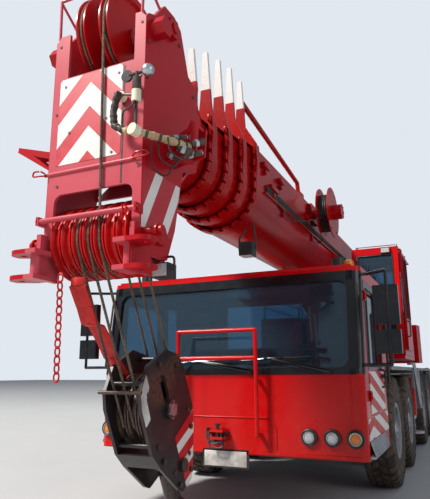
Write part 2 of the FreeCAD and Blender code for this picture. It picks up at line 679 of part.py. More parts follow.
# the front corners are rounded, upright below the windscreen and leaning along it
corner = [(cab_half - corner_r, at(-15)), (cab_half + 15, at(-15)), (cab_half + 15, at(corner_r)),
          (cab_half, at(corner_r), cab_half - corner_r, at(corner_r), -1), (cab_half - corner_r, at(0))]
corners = both([prism("xy", cab_low - 20, screen_low, corner)])
leaning = [(cab_half - corner_r, -15), (cab_half + 15, -15), (cab_half + 15, corner_r),
           (cab_half, corner_r, cab_half - corner_r, corner_r, -1), (cab_half - corner_r, 0)]
for piece in both([prism("xy", 0, cab_top - screen_low + 40, leaning)]):
    lean_back = math.degrees(math.atan2(screen_lean.value, (cab_top - screen_low).value))
    turned = FreeCAD.Placement(FreeCAD.Vector(0, at(0).value, screen_low.value),
                               FreeCAD.Rotation(FreeCAD.Vector(1, 0, 0), -lean_back))
    holder = add("Part::Compound", "Leaning")
    holder.Links = [piece]
    holder.Placement = turned
    corners.append(holder)
shell.obj.Label = "cab_shell_square"
hand_in(cut("cab_shell", shell.obj, corners))

panes = []
z0, z1 = screen_low + 20, cab_top - 90
panes.append(prism("yz", 110 - cab_half, cab_half - 110,
                   [(at(wall_s(z0, 22)), z0), (at(wall_s(z0, 22)) + pane, z0),
                    (at(wall_s(z1, 22)) + pane, z1), (at(wall_s(z1, 22)), z1)]))
panes.append(box(-700, 700, at(cab_len) - 40, at(cab_len) - 40 + pane, 1750, cab_top - 140))
panes += both([box(cab_half - 40, cab_half - 40 + pane, at(door_front + door_len + 90), at(cab_len) - 130,
                   1700, door_top - 30)])
hand_in(fuse("cab_glass", panes))

# Cab doors, hinged at their front edge
for name, sign in (("left", 1), ("right", -1)):
    low, high = (cab_half - cab_wall, cab_half) if sign > 0 else (-cab_half, cab_wall - cab_half)
    door = Body("door_" + name)
    door.pad("yz", low, high, [rectangle(at(door_front) + door_gap, at(door_front + door_len) - door_gap,
                                         door_low + door_gap, door_top - door_gap)])
    door.pocket("yz", low - 10, high + 10, [[(at(door_front) + 80, 1480),
                                             (at(door_front + door_len) - 80, 1480),
                                            (at(door_front + door_len) - 80, door_top - 75),
                                            (at(door_front) + 120, door_top - 75)]])
    low, high = (cab_half, cab_half + 5) if sign > 0 else (-cab_half - 5, -cab_half)
    for z in (1150, 2120):
        door.pad("xy", z + 16, z + 84, [rectangle(low - (2 if sign > 0 else 0),
                                                  high + (0 if sign > 0 else 2), at(hinge_s) + 10,
                                                  at(hinge_s) + 90)])
        door.pad("xy", z + 16, z + 84, [("circle", hinge_x * sign, at(hinge_s), hinge_r + 8)])
        door.pad("xy", z + 16, z + 84, [rectangle(*((cab_half + 2,
                                                     cab_half + 14) if sign > 0 else (-cab_half - 14,
                                                                                      -cab_half - 2)),
                                                                                      at(hinge_s) + 4,
                                                                                      at(hinge_s) + 60)])
        door.pocket("xy", z, z + 100, [("circle", hinge_x * sign, at(hinge_s), hinge_r + running_gap)])
    hand_in(door)

# Seats, dashboard and steering wheel
pieces = [box(-cab_half + 80, cab_half - 80, at(cab_wall) + 30, at(cab_wall) + 330, 1150, 1400),
          box(-cab_half + 80, cab_half - 80, at(cab_wall) + 30, at(cab_wall) + 90, cab_floor + 40, 1150)]
for x in (-800, 800):
    pieces.append(box(x - 180, x + 180, at(850), at(1250), cab_floor + 40, 1300))
    pieces.append(box(x - 250, x + 250, at(750), at(1270), 1300, 1420))
    pieces.append(box(x - 240, x + 240, at(1180), at(1300), 1400, 2050))
    pieces.append(box(x - 130, x + 130, at(1190), at(1280), 2050, 2230))
pieces.append(bar(35, (800, at(320), 1250), (800, at(560), 1560)))
wheel = add("Part::Torus", "SteeringWheel")
wheel.Radius1 = 220
wheel.Radius2 = 16
wheel.Placement = FreeCAD.Placement(FreeCAD.Vector(800, at(560).value, 1560),
                                    FreeCAD.Rotation(FreeCAD.Vector(1, 0, 0), -38))
pieces.append(wheel)
pieces.append(bar(14, (590, at(560), 1560), (1010, at(560), 1560)))
hand_in(fuse("cab_interior", pieces))

# Tube guard before the windscreen
pieces = []
corners = [(-guard_half, at(guard_s), 830), (-guard_half, at(guard_s), 1850),
           (guard_half, at(guard_s), 1850), (guard_half, at(guard_s), 830)]
pieces += tube_path(guard_r, [(-guard_half, at(0), 830)] + corners + [(guard_half, at(0), 830)])
pieces.append(bar(guard_r, (-guard_half, at(guard_s), 1570), (guard_half, at(guard_s), 1570)))
pieces += both([bar(guard_r, (guard_half, at(guard_s), 1340), (guard_half, at(0), 1340))])
hand_in(fuse("cab_guard", pieces))

# Mirrors on their arms
arm = [(cab_half, at(185), 2380), (cab_half + 60, at(185), 2380), (cab_half + 260, at(-10), 2370),
       (cab_half + 260, at(-10), 1490),
       (cab_half + 60, at(40), 1490), (cab_half, at(40), 1490)]
pieces = tube_path(16, arm) + [box(cab_half + 130, cab_half + 360, at(-15), at(60), 1860, 2230),
                               box(cab_half + 130, cab_half + 360, at(-15), at(60), 1590, 1810)]
one = fuse("mirror_left", pieces)
hand_in(fuse("mirrors", [one, mirrored(one)]))

# Lamps
pieces = []
for x in (930, 1150):
    pieces += both([rod("y", 78, at(-28), at(0), x, 825)])
pieces += both([rod("y", 72, at(-22), at(0), 1365, 825), rod("z", 65, cab_top, cab_top + 150, 1200, at(450)),
                box(carrier_half - 420, carrier_half - 60, at(carrier_len), at(carrier_len) + 45, 1250,
                    1370)])
hand_in(fuse("lamps", pieces))

# Turntable
side = [(at(side_front), table_top), (at(side_rear), table_top), (at(side_rear), 2500), (at(8700), 3520),
        (at(8550), 3600),
        (at(8300), 3580), (at(7700), 2900), (at(6700), 2250), (at(side_front), 2050)]
pieces = [box(-620, 620, at(5500), at(side_rear), table_low, table_top),
          rod("z", slew_r - 140, slew_z - 130, table_low + 10, 0, at(slew_s)),
          prism("yz", side_x, side_x + side_t, side), prism("yz", -side_x - side_t, -side_x, side),
          box(-620, 620, at(side_rear) - 70, at(side_rear), table_top, 2400),
          box(600, house_half, at(4350), at(6100), 1640, 1700), box(600, 700, at(5000), at(6100), 1560, 1660),
          box(-house_half, -side_x, at(house_front), at(house_rear), 1640, house_top)]
# housing doors with louvres in the middle one, an exhaust and a step rail
for n in range(3):
    door_s = house_front + 70 + 1060 * n
    pieces.append(box(-house_half - 14, 4 - house_half, at(door_s), at(door_s) + 990, 1700, house_top - 50))
for n in range(9):
    louvre_z = 1830 + 62 * n
    pieces.append(box(-house_half - 28, -house_half - 10, at(house_front) + 1230, at(house_front) + 2020,
                      louvre_z, louvre_z + 26))
pieces.append(rod("z", 70, house_top - 20, house_top + 330, -1150, at(7900)))
pieces += both([box(180, 235, at(foot_s) - 170, at(foot_s) + 170, table_top - 20, foot_z + 90),
                rod("x", 110, 180, 235, at(foot_s), foot_z)])
pieces.append(rod("x", 55, -240, 240, at(foot_s), foot_z))
solid = fuse("turntable_raw", pieces)
hand_in(cut("turntable", solid, [rod("x", pin_r + running_gap, -800, 800, at(pivot_s), pivot_z)]))

# Counterweight
weight = Body("counterweight")
weight.pad("xy", 1640, 2560, [[(-1300, at(side_rear)), (1300, at(side_rear)), (1350, at(9300)),
                               (1150, at(9760)),
                               (-1150, at(9760)), (-1350, at(9300))]])
hand_in(weight)

# Hoist winch between the side plates
pieces = [rod("x", drum_r, -drum_half, drum_half, at(winch_s), winch_z)]
pieces += both([rod("x", flange_r, drum_half - 30, drum_half, at(winch_s), winch_z)])
pieces.append(rod("x", 50, -side_x, side_x, at(winch_s), winch_z))
hand_in(fuse("hoist_winch", pieces))

# Operator cab
front_y = at(ocab_front)
back_y = at(ocab_front + ocab_len)
knee = ocab_low + 700
profile = [(front_y + 120, ocab_low), (back_y, ocab_low), (back_y, ocab_top), (front_y + 160, ocab_top),
           (front_y, knee)]
hollow = [(front_y + 120 + ocab_wall, ocab_low + ocab_wall), (back_y - ocab_wall, ocab_low + ocab_wall),
          (back_y - ocab_wall, ocab_top - ocab_wall), (front_y + 205, ocab_top - ocab_wall),
          (front_y + ocab_wall, knee)]
shell = Body("crane_cab_shell")
shell.pad("yz", ocab_in, ocab_out, [profile])
shell.pocket("yz", ocab_in + ocab_wall, ocab_out - ocab_wall, [hollow])
shell.pocket("xz", front_y - 50, front_y + 300,
             [rectangle(ocab_in + 90, ocab_out - 90, ocab_low + 260, ocab_top - 130)])
shell.pocket("xz", back_y - 100, back_y + 50, [rectangle(ocab_in + 120, ocab_out - 120, ocab_sill,
                                                         ocab_top - 200)])
shell.pocket("yz", ocab_in - 20, ocab_in + ocab_wall + 20,
             [rectangle(front_y + 250, front_y + 1500, ocab_sill, ocab_top - 150)])
shell.pocket("yz", ocab_out - ocab_wall - 20, ocab_out + 20,
             [rectangle(front_y + 260, front_y + 1020, ocab_low + 110, ocab_top - 110)])
shell.pocket("yz", ocab_out - ocab_wall - 20, ocab_out + 20,
             [rectangle(front_y + 1110, front_y + 1600, ocab_sill, ocab_top - 150)])
rail_z, rail_x = ocab_top - 60, ocab_out + 30
shell.pad("xz", front_y + 230, back_y - 10, [("circle", rail_x, rail_z, rail_r)])
for y in (front_y + 205, back_y - 25):
    shell.pad("xz", y, y + 25, [rectangle(ocab_out - 4, rail_x + 14, rail_z - 16, rail_z + 16)])
hand_in(shell)

upper_pane = [(front_y + 20, knee), (front_y + 20 + pane, knee), (front_y + 156 + pane, ocab_top - 130),
              (front_y + 156, ocab_top - 130)]
lower_pane = [(front_y + 96, ocab_low + 260), (front_y + 96 + pane, ocab_low + 260),
              (front_y + 20 + pane, knee),
              (front_y + 20, knee)]
glass = [box(ocab_in + 120, ocab_out - 120, back_y - 30, back_y - 30 + pane, ocab_sill, ocab_top - 200),
         box(ocab_in + 20, ocab_in + 20 + pane, front_y + 250, front_y + 1500, ocab_sill, ocab_top - 150),
         box(ocab_out - 30, ocab_out - 30 + pane, front_y + 1110, front_y + 1600, ocab_sill, ocab_top - 150),
         prism("yz", ocab_in + 90, ocab_out - 90, upper_pane), prism("yz", ocab_in + 90, ocab_out - 90,
                                                                     lower_pane)]
hand_in(fuse("crane_cab_glass", glass))

door = Body("crane_cab_door")
door.pad("yz", ocab_out + 8, ocab_out + 48, [rectangle(front_y + 240, front_y + 1040, ocab_low + 90,
                                                       ocab_top - 90)])
door.pocket("yz", ocab_out, ocab_out + 60, [rectangle(front_y + 310, front_y + 970, 2350, ocab_top - 160)])
for y in (front_y + 300, front_y + 900):
    door.pad("xz", y, y + 80, [rectangle(rail_x - 16, rail_x + 18, rail_z - 40, rail_z + 18)])
    door.pocket("xz", y - 5, y + 85, [("circle", rail_x, rail_z, rail_r + running_gap)])
hand_in(door)

xm = (ocab_in + ocab_out) / 2
pieces = [box(xm - 220, xm + 220, front_y + 850, front_y + 1350, ocab_low + ocab_wall, 2150),
          box(xm - 240, xm + 240, front_y + 800, front_y + 1350, 2150, 2280),
          box(xm - 230, xm + 230, front_y + 1270, front_y + 1400, 2280, 2950)]
for side in (-1, 1):
    arm_x = xm + 250 * side
    pieces.append(box(arm_x - 50, arm_x + 50, front_y + 750, front_y + 1250, 2250, 2400))
hand_in(fuse("crane_cab_seat", pieces))

# Luffing cylinder, built level along -Y and tilted about its foot
dy, dz = (foot_s - eye_s).value, (eye_z - foot_z).value
cylinder_len = math.hypot(dy, dz)
tilt = -math.degrees(math.atan2(dz, dy))
placed = FreeCAD.Placement(FreeCAD.Vector(0, at(foot_s).value, foot_z.value),
                           FreeCAD.Rotation(FreeCAD.Vector(1, 0, 0), tilt))
solid = fuse("luff_barrel_raw", [rod("y", cyl_r, 110 - cylinder_len, -60, 0, 0),
                                 rod("y", cyl_r + 22, 260 - cylinder_len, 340 - cylinder_len, 0, 0),
                                 rod("x", 110, -170, 170, 0, 0)])
barrel = cut("luff_barrel", solid, [rod("y", cyl_rod_r + running_gap, -cylinder_len, -110, 0, 0),
                                    rod("x", foot_pin_r + running_gap, -200, 200, 0, 0)])
barrel.Placement = placed
hand_in(barrel)
solid = fuse("luff_rod_raw", [rod("y", cyl_rod_r, -cylinder_len + 60, -125, 0, 0),
                              rod("x", 105, -165, 165, -cylinder_len, 0)])
piston = cut("luff_rod", solid, [rod("x", eye_pin_r + running_gap, -200, 200, -cylinder_len, 0)])
piston.Placement = placed
hand_in(piston)


# Boom
def boom_outline(n, grow=0):
    half = boom_half - boom_step * n + grow
    top = boom_top - boom_step * n + grow
    chamfer = 90
    return [(-half, boom_arc_z, 0, boom_arc_z, 1), (half, boom_arc_z), (half, top - chamfer),
            (half - chamfer, top),
            (chamfer - half, top), (-half, top - chamfer)]


def mirror_loop(loop):
    return [(-corner[0], corner[1]) for corner in loop]


def base_fittings():
    """Cable reel and stay tube of the boom base."""
    reel_y = at(reel_s)
    fittings = [box(boom_half - 5, boom_half + 50, reel_y - 190, reel_y + 190, reel_z - 130, reel_z + 130),
                rod("x", 70, boom_half, reel_in + 20, reel_y, reel_z),
                rod("x", 110, reel_in + reel_w, reel_in + reel_w + 150, reel_y, reel_z),
                rod("x", 265, reel_in + 5, reel_in + reel_w + 5, reel_y, reel_z)]
    for x in (reel_in, reel_in + reel_w):
        holes = []
        for turn in range(0, 360, 60):
            y = reel_y + 320 * math.cos(math.radians(turn))
            z = reel_z + 320 * math.sin(math.radians(turn))
            holes.append(rod("x", 26, x - 10, x + 30, y, z))
        fittings.append(cut("ReelFlange", rod("x", reel_r, x, x + 14, reel_y, reel_z), holes))
    stay = [(stay_x, at(collar_front) + 60, boom_top + 480), (stay_x, at(2200), boom_top + 240),
            (stay_x, at(2260), boom_top - 6)]
    fittings += tube_path(stay_r, stay)
    fittings.append(box(stay_x - 55, stay_x + 55, at(2170), at(2350), boom_top - 5, boom_top + 90))
    fittings.append(box(stay_x - 14, stay_x + 14, at(collar_front) + 35, at(collar_front) + 100,
                        boom_top + 100, boom_top + 500))
    return fittings


# Telescopic sections. Columns: name, height of its collar's horns
SECTIONS = [("boom_base", 740), ("boom_section_1", 780), ("boom_section_2", 740), ("boom_section_3", 690),
            ("boom_section_4", 590), ("boom_section_5", 0)]
for n, (name, horn_high) in enumerate(SECTIONS):
    last = horn_high == 0
    body = Body("boom_base_tube" if n == 0 else name)
    front = at(head_back) if last else at(collar_front - collar_step * n)
    rear = at(8700) if n == 0 else at(8280 - 40 * n)
    half, top = boom_half - boom_step * n, boom_top - boom_step * n
    body.pad("xz", front, rear, [boom_outline(n)])
    if not last:
        body.pad("xz", front, front + collar_len, [boom_outline(n, collar_out)])
        body.pad("xz", front + collar_len, front + collar_len + 40, [boom_outline(n, collar_out / 2)])
        horn = [(horn_in, top - 20), (half + collar_out, boom_arc_z + 120),
                (half + collar_out + 14, boom_arc_z + 260),
                (half + collar_out + 4, top - 60), (horn_in + 130, top + 170),
                (horn_tip + horn_tip_w, top + horn_high),
                (horn_tip, top + horn_high), (horn_in + 20, top + 170)]
        web = [(front + 30, top - 70), (front + 250, top - 70), (front + 120, top + 100),
               (front + 30, top + 330)]
        body.pad("xz", front, front + horn_t, [horn])
        body.pad("xz", front, front + horn_t, [mirror_loop(horn)])
        body.pad("yz", horn_in + 50, horn_in + 70, [web])
        body.pad("yz", -horn_in - 70, -horn_in - 50, [web])
    body.pocket("xz", front - 20, rear - (120 if n == 0 else -20), [boom_outline(n, -boom_wall)])
    if not last:
        inner = boom_wall - 2
        side_pad = rectangle(half - boom_step + running_gap, half - inner, boom_arc_z + 40, boom_arc_z + 200)
        top_pad = rectangle(90, 170, top - boom_step + running_gap, top - inner)
        body.pad("xz", front + 10, front + 100, [side_pad, mirror_loop(side_pad), top_pad,
                                                 mirror_loop(top_pad)])
    if n > 0:
        hand_in(body)
        continue
    boss_end = side_x - 12
    pin_end = side_x + side_t + 30
    for low, high in ((boom_half - 14, boss_end), (-boss_end, 14 - boom_half)):
        body.pad("yz", low, high, [("circle", at(pivot_s), pivot_z, 150)])
    body.pad("yz", boom_half - 10, pin_end, [("circle", at(pivot_s), pivot_z, pin_r)])
    body.pad("yz", -pin_end, 10 - boom_half, [("circle", at(pivot_s), pivot_z, pin_r)])
    lug_root, lug_foot = boom_arc_z - boom_half + 40, eye_z - 90
    lug = [(at(eye_s) - 260, lug_root), (at(eye_s) - 110, lug_foot), (at(eye_s) + 110, lug_foot),
           (at(eye_s) + 260, lug_root)]
    body.pad("yz", eye_lug_in, eye_lug_out, [lug])
    body.pad("yz", -eye_lug_out, -eye_lug_in, [lug])
    body.pad("yz", -eye_lug_out - 12, eye_lug_out + 12, [("circle", at(eye_s), eye_z, eye_pin_r)])
    for low, high in ((boom_half - 3, boom_half + ledge_out), (-boom_half - ledge_out, 3 - boom_half)):
        body.pad("xy", ledge_z - 20, ledge_z, [rectangle(low, high, at(250), at(7600))])
        for s in range(900, 7500, 1400):
            body.pad("xz", at(s), at(s) + 30, [rectangle(low, high, ledge_z - 125, ledge_z - 10)])
    hand_in(fuse(name, [body.obj] + base_fittings()))

# Boom head: cheeks, a front frame with two windows, jib lugs and brackets
face, back = at(head_face), at(head_back)
inner_x = head_half - cheek
cheek_side = [(face, shaft_z), (at(shaft_s) - 150, 2230), (at(shaft_s) + 120, 2230),
              (at(shaft_s) + 230, 2480), (at(-1640), 3000),
              (back, 3080), (back, 3830), (at(-1560), 3900), (at(-1700), 4250), (at(top_shaft_s) + 70, 4310),
              (at(top_shaft_s) - 90, 4310), (face + 130, 4130), (face + 40, 4090), (face, 4040)]
front_frame = [(-head_half, shaft_z), (-low_window, shaft_z),
               (-low_window, low_window_top - window_r, window_r - low_window, low_window_top - window_r, -1),
               (window_r - low_window, low_window_top),
               (low_window - window_r, low_window_top, low_window - window_r, low_window_top - window_r, -1),
               (low_window, low_window_top - window_r), (low_window, shaft_z), (head_half, shaft_z),
               (head_half, 4040),
               (head_half - 45, 4090), (high_right, 4090), (high_right, cross_top), (-high_left, cross_top),
               (-high_left, 4090), (45 - head_half, 4090), (-head_half, 4040)]
floor_plate = [(at(-1700), 2850), (at(-1675), 2850), (at(-1430), 3100), (at(-1455), 3100)]
head = both([prism("yz", inner_x, head_half, cheek_side)])
head += [prism("xz", face, face + frame_t, front_frame),
         box(-inner_x - 5, inner_x + 5, back - 50, back, 3080, 3830),
         box(-inner_x - 5, inner_x + 5, at(-1640), at(-1440), 3660, 3700),
         box(-inner_x - 5, inner_x + 5, at(-1640), at(-1440), 3080, 3120),
         prism("yz", -inner_x - 5, inner_x + 5, floor_plate)]
# shafts, the spacers of the top one, and hexagon nuts
top_y = at(top_shaft_s)
TOP_SHEAVES = (-170, 50)
head += [rod("x", shaft_r, -head_half - 30, head_half + 30, at(shaft_s), shaft_z),
         rod("x", shaft_r, -head_half - 60, head_half + 60, top_y, top_shaft_z),
         rod("x", 75, -inner_x - 5, TOP_SHEAVES[0] - sheave_w / 2 - 4, top_y, top_shaft_z),
         rod("x", 75, TOP_SHEAVES[1] + sheave_w / 2 + 4, inner_x + 5, top_y, top_shaft_z)]
# Nuts and stops on the cheeks. Columns: radius, place behind the bumper, height, how far they stand out
for radius, s, z, out in ((80, shaft_s, shaft_z, 28), (92, top_shaft_s, top_shaft_z, 45),
                          (82, -2120, 3990, 115)):
    nut = []
    for turn in range(0, 360, 60):
        nut.append((at(s) + radius * math.cos(math.radians(turn)), z + radius * math.sin(math.radians(turn))))
    head += both([prism("yz", head_half - 5, head_half + out, nut)])
# jib lugs on their posts before the head
lug_y = at(jib_lug_s)
lug_plate = [(low_window - 20, lug_y + 110), (low_window - 20, lug_y - jib_lug_r),
             (jib_lug_x, lug_y - jib_lug_r, jib_lug_x, lug_y, 1), (jib_lug_x + jib_lug_r, lug_y),
             (jib_lug_x + jib_lug_r, lug_y + 40), (head_half + 40, lug_y + 110)]
for low in (jib_lug_low, jib_lug_high):
    head += both([prism("xy", low, low + jib_lug_t, lug_plate, ("circle", jib_lug_x, lug_y, jib_pin_r))])
head += both([rod("z", 37, jib_lug_low + 10, jib_lug_high + 20, head_half - 25, lug_y),
              box(inner_x, head_half, lug_y + 20, at(shaft_s) - 40, jib_lug_high - 5, 2420),
              box(inner_x, head_half, lug_y + 20, at(shaft_s) - 100, jib_lug_low + 10, jib_lug_high + 10),
              rod("x", 36, head_half - 10, head_half + 150, at(-2190), 2370),
              rod("x", 52, head_half + 110, head_half + 122, at(-2190), 2370)])
# rope keeper, a pin across the face, and the bail over the top sheaves
keeper_y = at(keeper_s)
head.append(rod("x", 21, -head_half - 20, head_half + 20, keeper_y, keeper_z))
head += both([box(head_half - 12, head_half + 12, keeper_y - 25, face + 10, keeper_z - 32, keeper_z + 32)])
head.append(rod("x", 14, -head_half - 25, head_half - 60, face - 2, 2905))
bail_y = face + frame_t / 2
head += tube_path(12, [(-405, bail_y, 4080), (-415, bail_y, 4440), (390, bail_y, 4440), (380, bail_y, 4080)])
head += [bar(11, (-415, bail_y, 4430), (-400, at(-1990), 4250)),
         bar(11, (390, bail_y, 4430), (400, at(-1990), 4250))]
# slotted brackets on the crane's left cheek, three-cornered ones on the right
slotted = [(head_half - 5, 2980), (690, 3030), (705, 3250), (650, 3275), (620, 3215),
           (head_half + 40, 3150), (head_half - 5, 3180)]
slots = [rectangle(500, 525, 3050, 3130), rectangle(560, 585, 3060, 3150), rectangle(622, 647, 3075, 3180)]
head += [prism("xz", at(-1935), at(-1910), slotted, *slots), prism("xz", at(-1790), at(-1765), slotted),
         box(head_half - 5, 600, at(-1935), at(-1765), 3000, 3020), box(655, 690, at(-1935), at(-1765),
                                                                        3225, 3250)]
wing = [(5 - head_half, 3100), (-800, 3215), (-810, 3185), (5 - head_half, 2940)]
wing_top = [(5 - head_half, 3095), (-800, 3210), (-803, 3225), (5 - head_half, 3112)]
wing_hole = [(-475, 3075), (-640, 3130), (-475, 3000)]
head += [prism("xz", at(-2190), at(-2168), wing, wing_hole), prism("xz", at(-2060), at(-2038), wing,
                                                                   wing_hole),
         prism("xz", at(-2190), at(-2038), wing_top)]
# wind gauge on its bent arm
gauge_y = at(gauge_s)
arm = [(258, face + 5, 3390), (258, gauge_y, 3385), (228, gauge_y, 3250), (240, gauge_y, 3140),
       (330, gauge_y, 3085),
       (430, gauge_y, 3060), (600, at(-2150), 3030), (640, at(-1925), 3060)]
head += tube_path(20, arm)
head += [rod("z", 9, 3065, 3310, 420, gauge_y), rod("z", 30, 3290, 3470, 420, gauge_y),
         rod("z", 10, 3460, 3520, 420, gauge_y),
         rod("x", 7, 335, 505, gauge_y + 6, 3510)]
for x in (330, 510):
    cup = box(x - 60, x + 60, gauge_y - 60, gauge_y, 3450, 3570)
    head.append(cut("GaugeCup", ball(46, (x, gauge_y, 3512)), [cup]))
hand_in(fuse("boom_head", head))


def sheave(radius, x, y, z):
    """Rope sheave with its groove, bored for the shaft."""
    body = Body("Sheave")
    w = sheave_w / 2
    r = size_of(radius)
    body.turn([[(-w, shaft_r + 1), (w, shaft_r + 1), (w, 95), (w - 24, 95), (w - 24, r - 70), (w, r - 55),
                (w, r), (w - 12, r),
                (rope_r, r - groove), (-rope_r, r - groove), (12 - w, r), (-w, r), (-w, r - 55),
                (24 - w, r - 70),
                (24 - w, 95), (-w, 95)]])
    body.place(x, y, z)
    return body.obj


pieces = [sheave(sheave_r, sheave_pitch * n, at(shaft_s), shaft_z) for n in range(-3, 4)]
pieces += [sheave(top_sheave_r, x, at(top_shaft_s), top_shaft_z) for x in TOP_SHEAVES]
hand_in(fuse("head_sheaves", pieces))

# Falls, hook block and hook hang from the lower sheave shaft, leaning back
hang = FreeCAD.Placement(FreeCAD.Vector(0, at(shaft_s).value, shaft_z.value),
                         FreeCAD.Rotation(FreeCAD.Vector(1, 0, 0), lean.value))
top_r = sheave_r - groove + rope_r + rope_seat
low_r = block_sheave_r - groove + rope_r + rope_seat
pieces = []
for n in (-1, 0, 1):
    x = sheave_pitch * n
    for side in (-1, 1):
        pieces.append(bar(rope_r, (x, top_r * side, 0), (x, low_r * side, -fall_len)))
ropes = fuse("hoist_ropes", pieces)
ropes.Placement = hang
hand_in(ropes)

zb = -fall_len
zc = zb - crosshead_low
w = block_wide
half_plate = [(80, zb - 690), (130, zb - 640), (w - 60, zb - 330), (w, zb - 180), (w, zb + 200),
              (w - 40, zb + 320), (150, zb + 450)]
plate = half_plate + mirror_loop(half_plate[::-1])
hand_hole = [(45, zb + 120), (45, zb + 250, 0, zb + 250, 1), (-45, zb + 250), (-45, zb + 120, 0, zb + 120, 1)]
rim_piece = [(w - 60, zb - 330), (w, zb - 180), (w - 22, zb - 180), (w - 82, zb - 330)]
pieces = [prism("yz", block_half - block_t, block_half, plate, hand_hole),
          prism("yz", -block_half, block_t - block_half, plate, hand_hole),
          prism("yz", 20 - block_half, block_half - 20, rim_piece),
          prism("yz", 20 - block_half, block_half - 20, mirror_loop(rim_piece)),
          rod("x", shaft_r + 1, -block_half - 30, block_half + 30, 0, zb),
          rod("x", crosshead_r, block_t - block_half, block_half - block_t, 0, zc),
          rod("x", 78, block_half - 5, block_half + 34, 0, zb), rod("x", 78, -block_half - 34,
                                                                    5 - block_half, 0, zb),
          rod("x", 55, block_half - 5, block_half + 26, 0, zc), rod("x", 55, -block_half - 26,
                                                                    5 - block_half, 0, zc)]
for y, z in ((-210, zb + 335), (210, zb + 335), (-310, zb - 130), (310, zb - 130)):
    pieces.append(rod("x", 20, -block_half, block_half, y, z))
for x in (-block_half - 18, block_half - 6):
    for y, z in ((-245, zb - 300), (245, zb - 300), (-100, zb - 610), (100, zb - 610), (0, zb + 390)):
        pieces.append(rod("x", 22, x, x + 24, y, z))
pieces += [sheave(block_sheave_r, sheave_pitch * n, 0, zb) for n in (-1, 0, 1)]
solid = fuse("hook_block_raw", pieces)
block = cut("hook_block", solid, [rod("z", shank_r + running_gap, zc - 150, zc + 150, 0, 0)])
block.Placement = hang
hand_in(block)

# Hook: its shank, nut and collar, the bend and a tip that thins out
bend = add("Part::Torus", "HookBend")
bind(bend, "Radius1", bend_r)
bind(bend, "Radius2", hook_r)
bend.Angle3 = 250
upright = FreeCAD.Rotation(FreeCAD.Vector(1, 0, 0), 90).multiply(FreeCAD.Rotation(FreeCAD.Vector(0, 0, 1),
                                                                                  -160))
bend.Placement = FreeCAD.Placement(FreeCAD.Vector(0, 0, (zb - bend_low).value), upright)
end = math.radians(200)
tip = add("Part::Cone", "HookTip")
bind(tip, "Radius1", hook_r)
tip.Radius2 = 15
tip.Height = 110
foot = FreeCAD.Vector(bend_r.value * math.cos(end), 0, (zb - bend_low).value + bend_r.value * math.sin(end))
tip.Placement = FreeCAD.Placement(foot, FreeCAD.Rotation(FreeCAD.Vector(0, 0, 1),
                                                         FreeCAD.Vector(math.sin(end), 0, -math.cos(end))))
pieces = [rod("z", shank_r, zb - bend_low + bend_r, zc + 100, 0, 0), rod("z", 60, zc + crosshead_r + 3,
                                                                         zc + 105, 0, 0),
          rod("z", 66, zb - bend_low + bend_r + 20, zc - crosshead_r - 8, 0, 0),
          ball(70, (0, 0, zb - bend_low + bend_r + 20)),
          bend, tip]
hook = fuse("hook", pieces)
hook.Placement = hang
hand_in(hook)

doc.recompute()
os.makedirs("parts", exist_ok=True)
bad = [o.Name for o in doc.Objects if "Invalid" in o.State or "Error" in o.State]
if bad:
    raise SystemExit("objects that failed: " + ", ".join(bad))
for item in parts:
    shape = item.Shape
    if shape.isNull() or not shape.isValid():
        raise SystemExit("bad shape: " + item.Label)
    shape.exportStep("parts/%s.step" % item.Label)
print(len(parts), "parts written")
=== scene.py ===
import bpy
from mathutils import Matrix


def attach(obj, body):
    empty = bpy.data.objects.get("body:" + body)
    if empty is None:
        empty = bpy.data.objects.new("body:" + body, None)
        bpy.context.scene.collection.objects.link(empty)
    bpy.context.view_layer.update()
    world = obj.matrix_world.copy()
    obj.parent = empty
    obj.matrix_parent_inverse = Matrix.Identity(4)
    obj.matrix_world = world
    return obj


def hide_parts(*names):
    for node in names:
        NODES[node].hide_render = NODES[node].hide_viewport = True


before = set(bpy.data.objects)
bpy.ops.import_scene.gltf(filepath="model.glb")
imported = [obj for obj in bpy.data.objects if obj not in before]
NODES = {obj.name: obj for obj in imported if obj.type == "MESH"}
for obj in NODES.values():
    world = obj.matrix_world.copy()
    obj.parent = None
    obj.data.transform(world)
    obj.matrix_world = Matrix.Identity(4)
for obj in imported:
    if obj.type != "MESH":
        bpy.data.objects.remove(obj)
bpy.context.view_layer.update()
import math

import bmesh
import bpy
from mathutils import Matrix, Vector

bl_info = {
    "name": "Mobile Crane",
    "version": (1, 0, 0),
    "blender": (4, 5, 0),
    "location": "View3D > Sidebar > Crane",
    "description": "Dresses the four-axle mobile crane with its paint, glass, ropes and fittings",
    "category": "Object",
}

NOSE = -4.113
BOTH = (1, -1)


def behind(station):
    """Y of a place that lies this many metres behind the front bumper."""
    return NOSE + station


def shade(red, green, blue):
    """A colour as it looks on a screen, from 0 to 255, as the linear colour that a shader takes."""
    def linear(c):
        c /= 255
        return c / 12.92 if c <= 0.04045 else ((c + 0.055) / 1.055) ** 2.4
    return (linear(red), linear(green), linear(blue), 1)


# Mesh helpers

def block(bm, low, high):
    size = Vector(high) - Vector(low)
    matrix = Matrix.LocRotScale((Vector(low) + Vector(high)) / 2, None, size)
    return bmesh.ops.create_cube(bm, size=1, matrix=matrix)["verts"]


def rod(bm, start, end, radius, sides=16, end_radius=None):
    start, end = Vector(start), Vector(end)
    turn = Vector((0, 0, 1)).rotation_difference(end - start)
    matrix = Matrix.LocRotScale((start + end) / 2, turn, None)
    return bmesh.ops.create_cone(bm, cap_ends=True, segments=sides, radius1=radius,
                                 radius2=radius if end_radius is None else end_radius,
                                 depth=(end - start).length, matrix=matrix)["verts"]


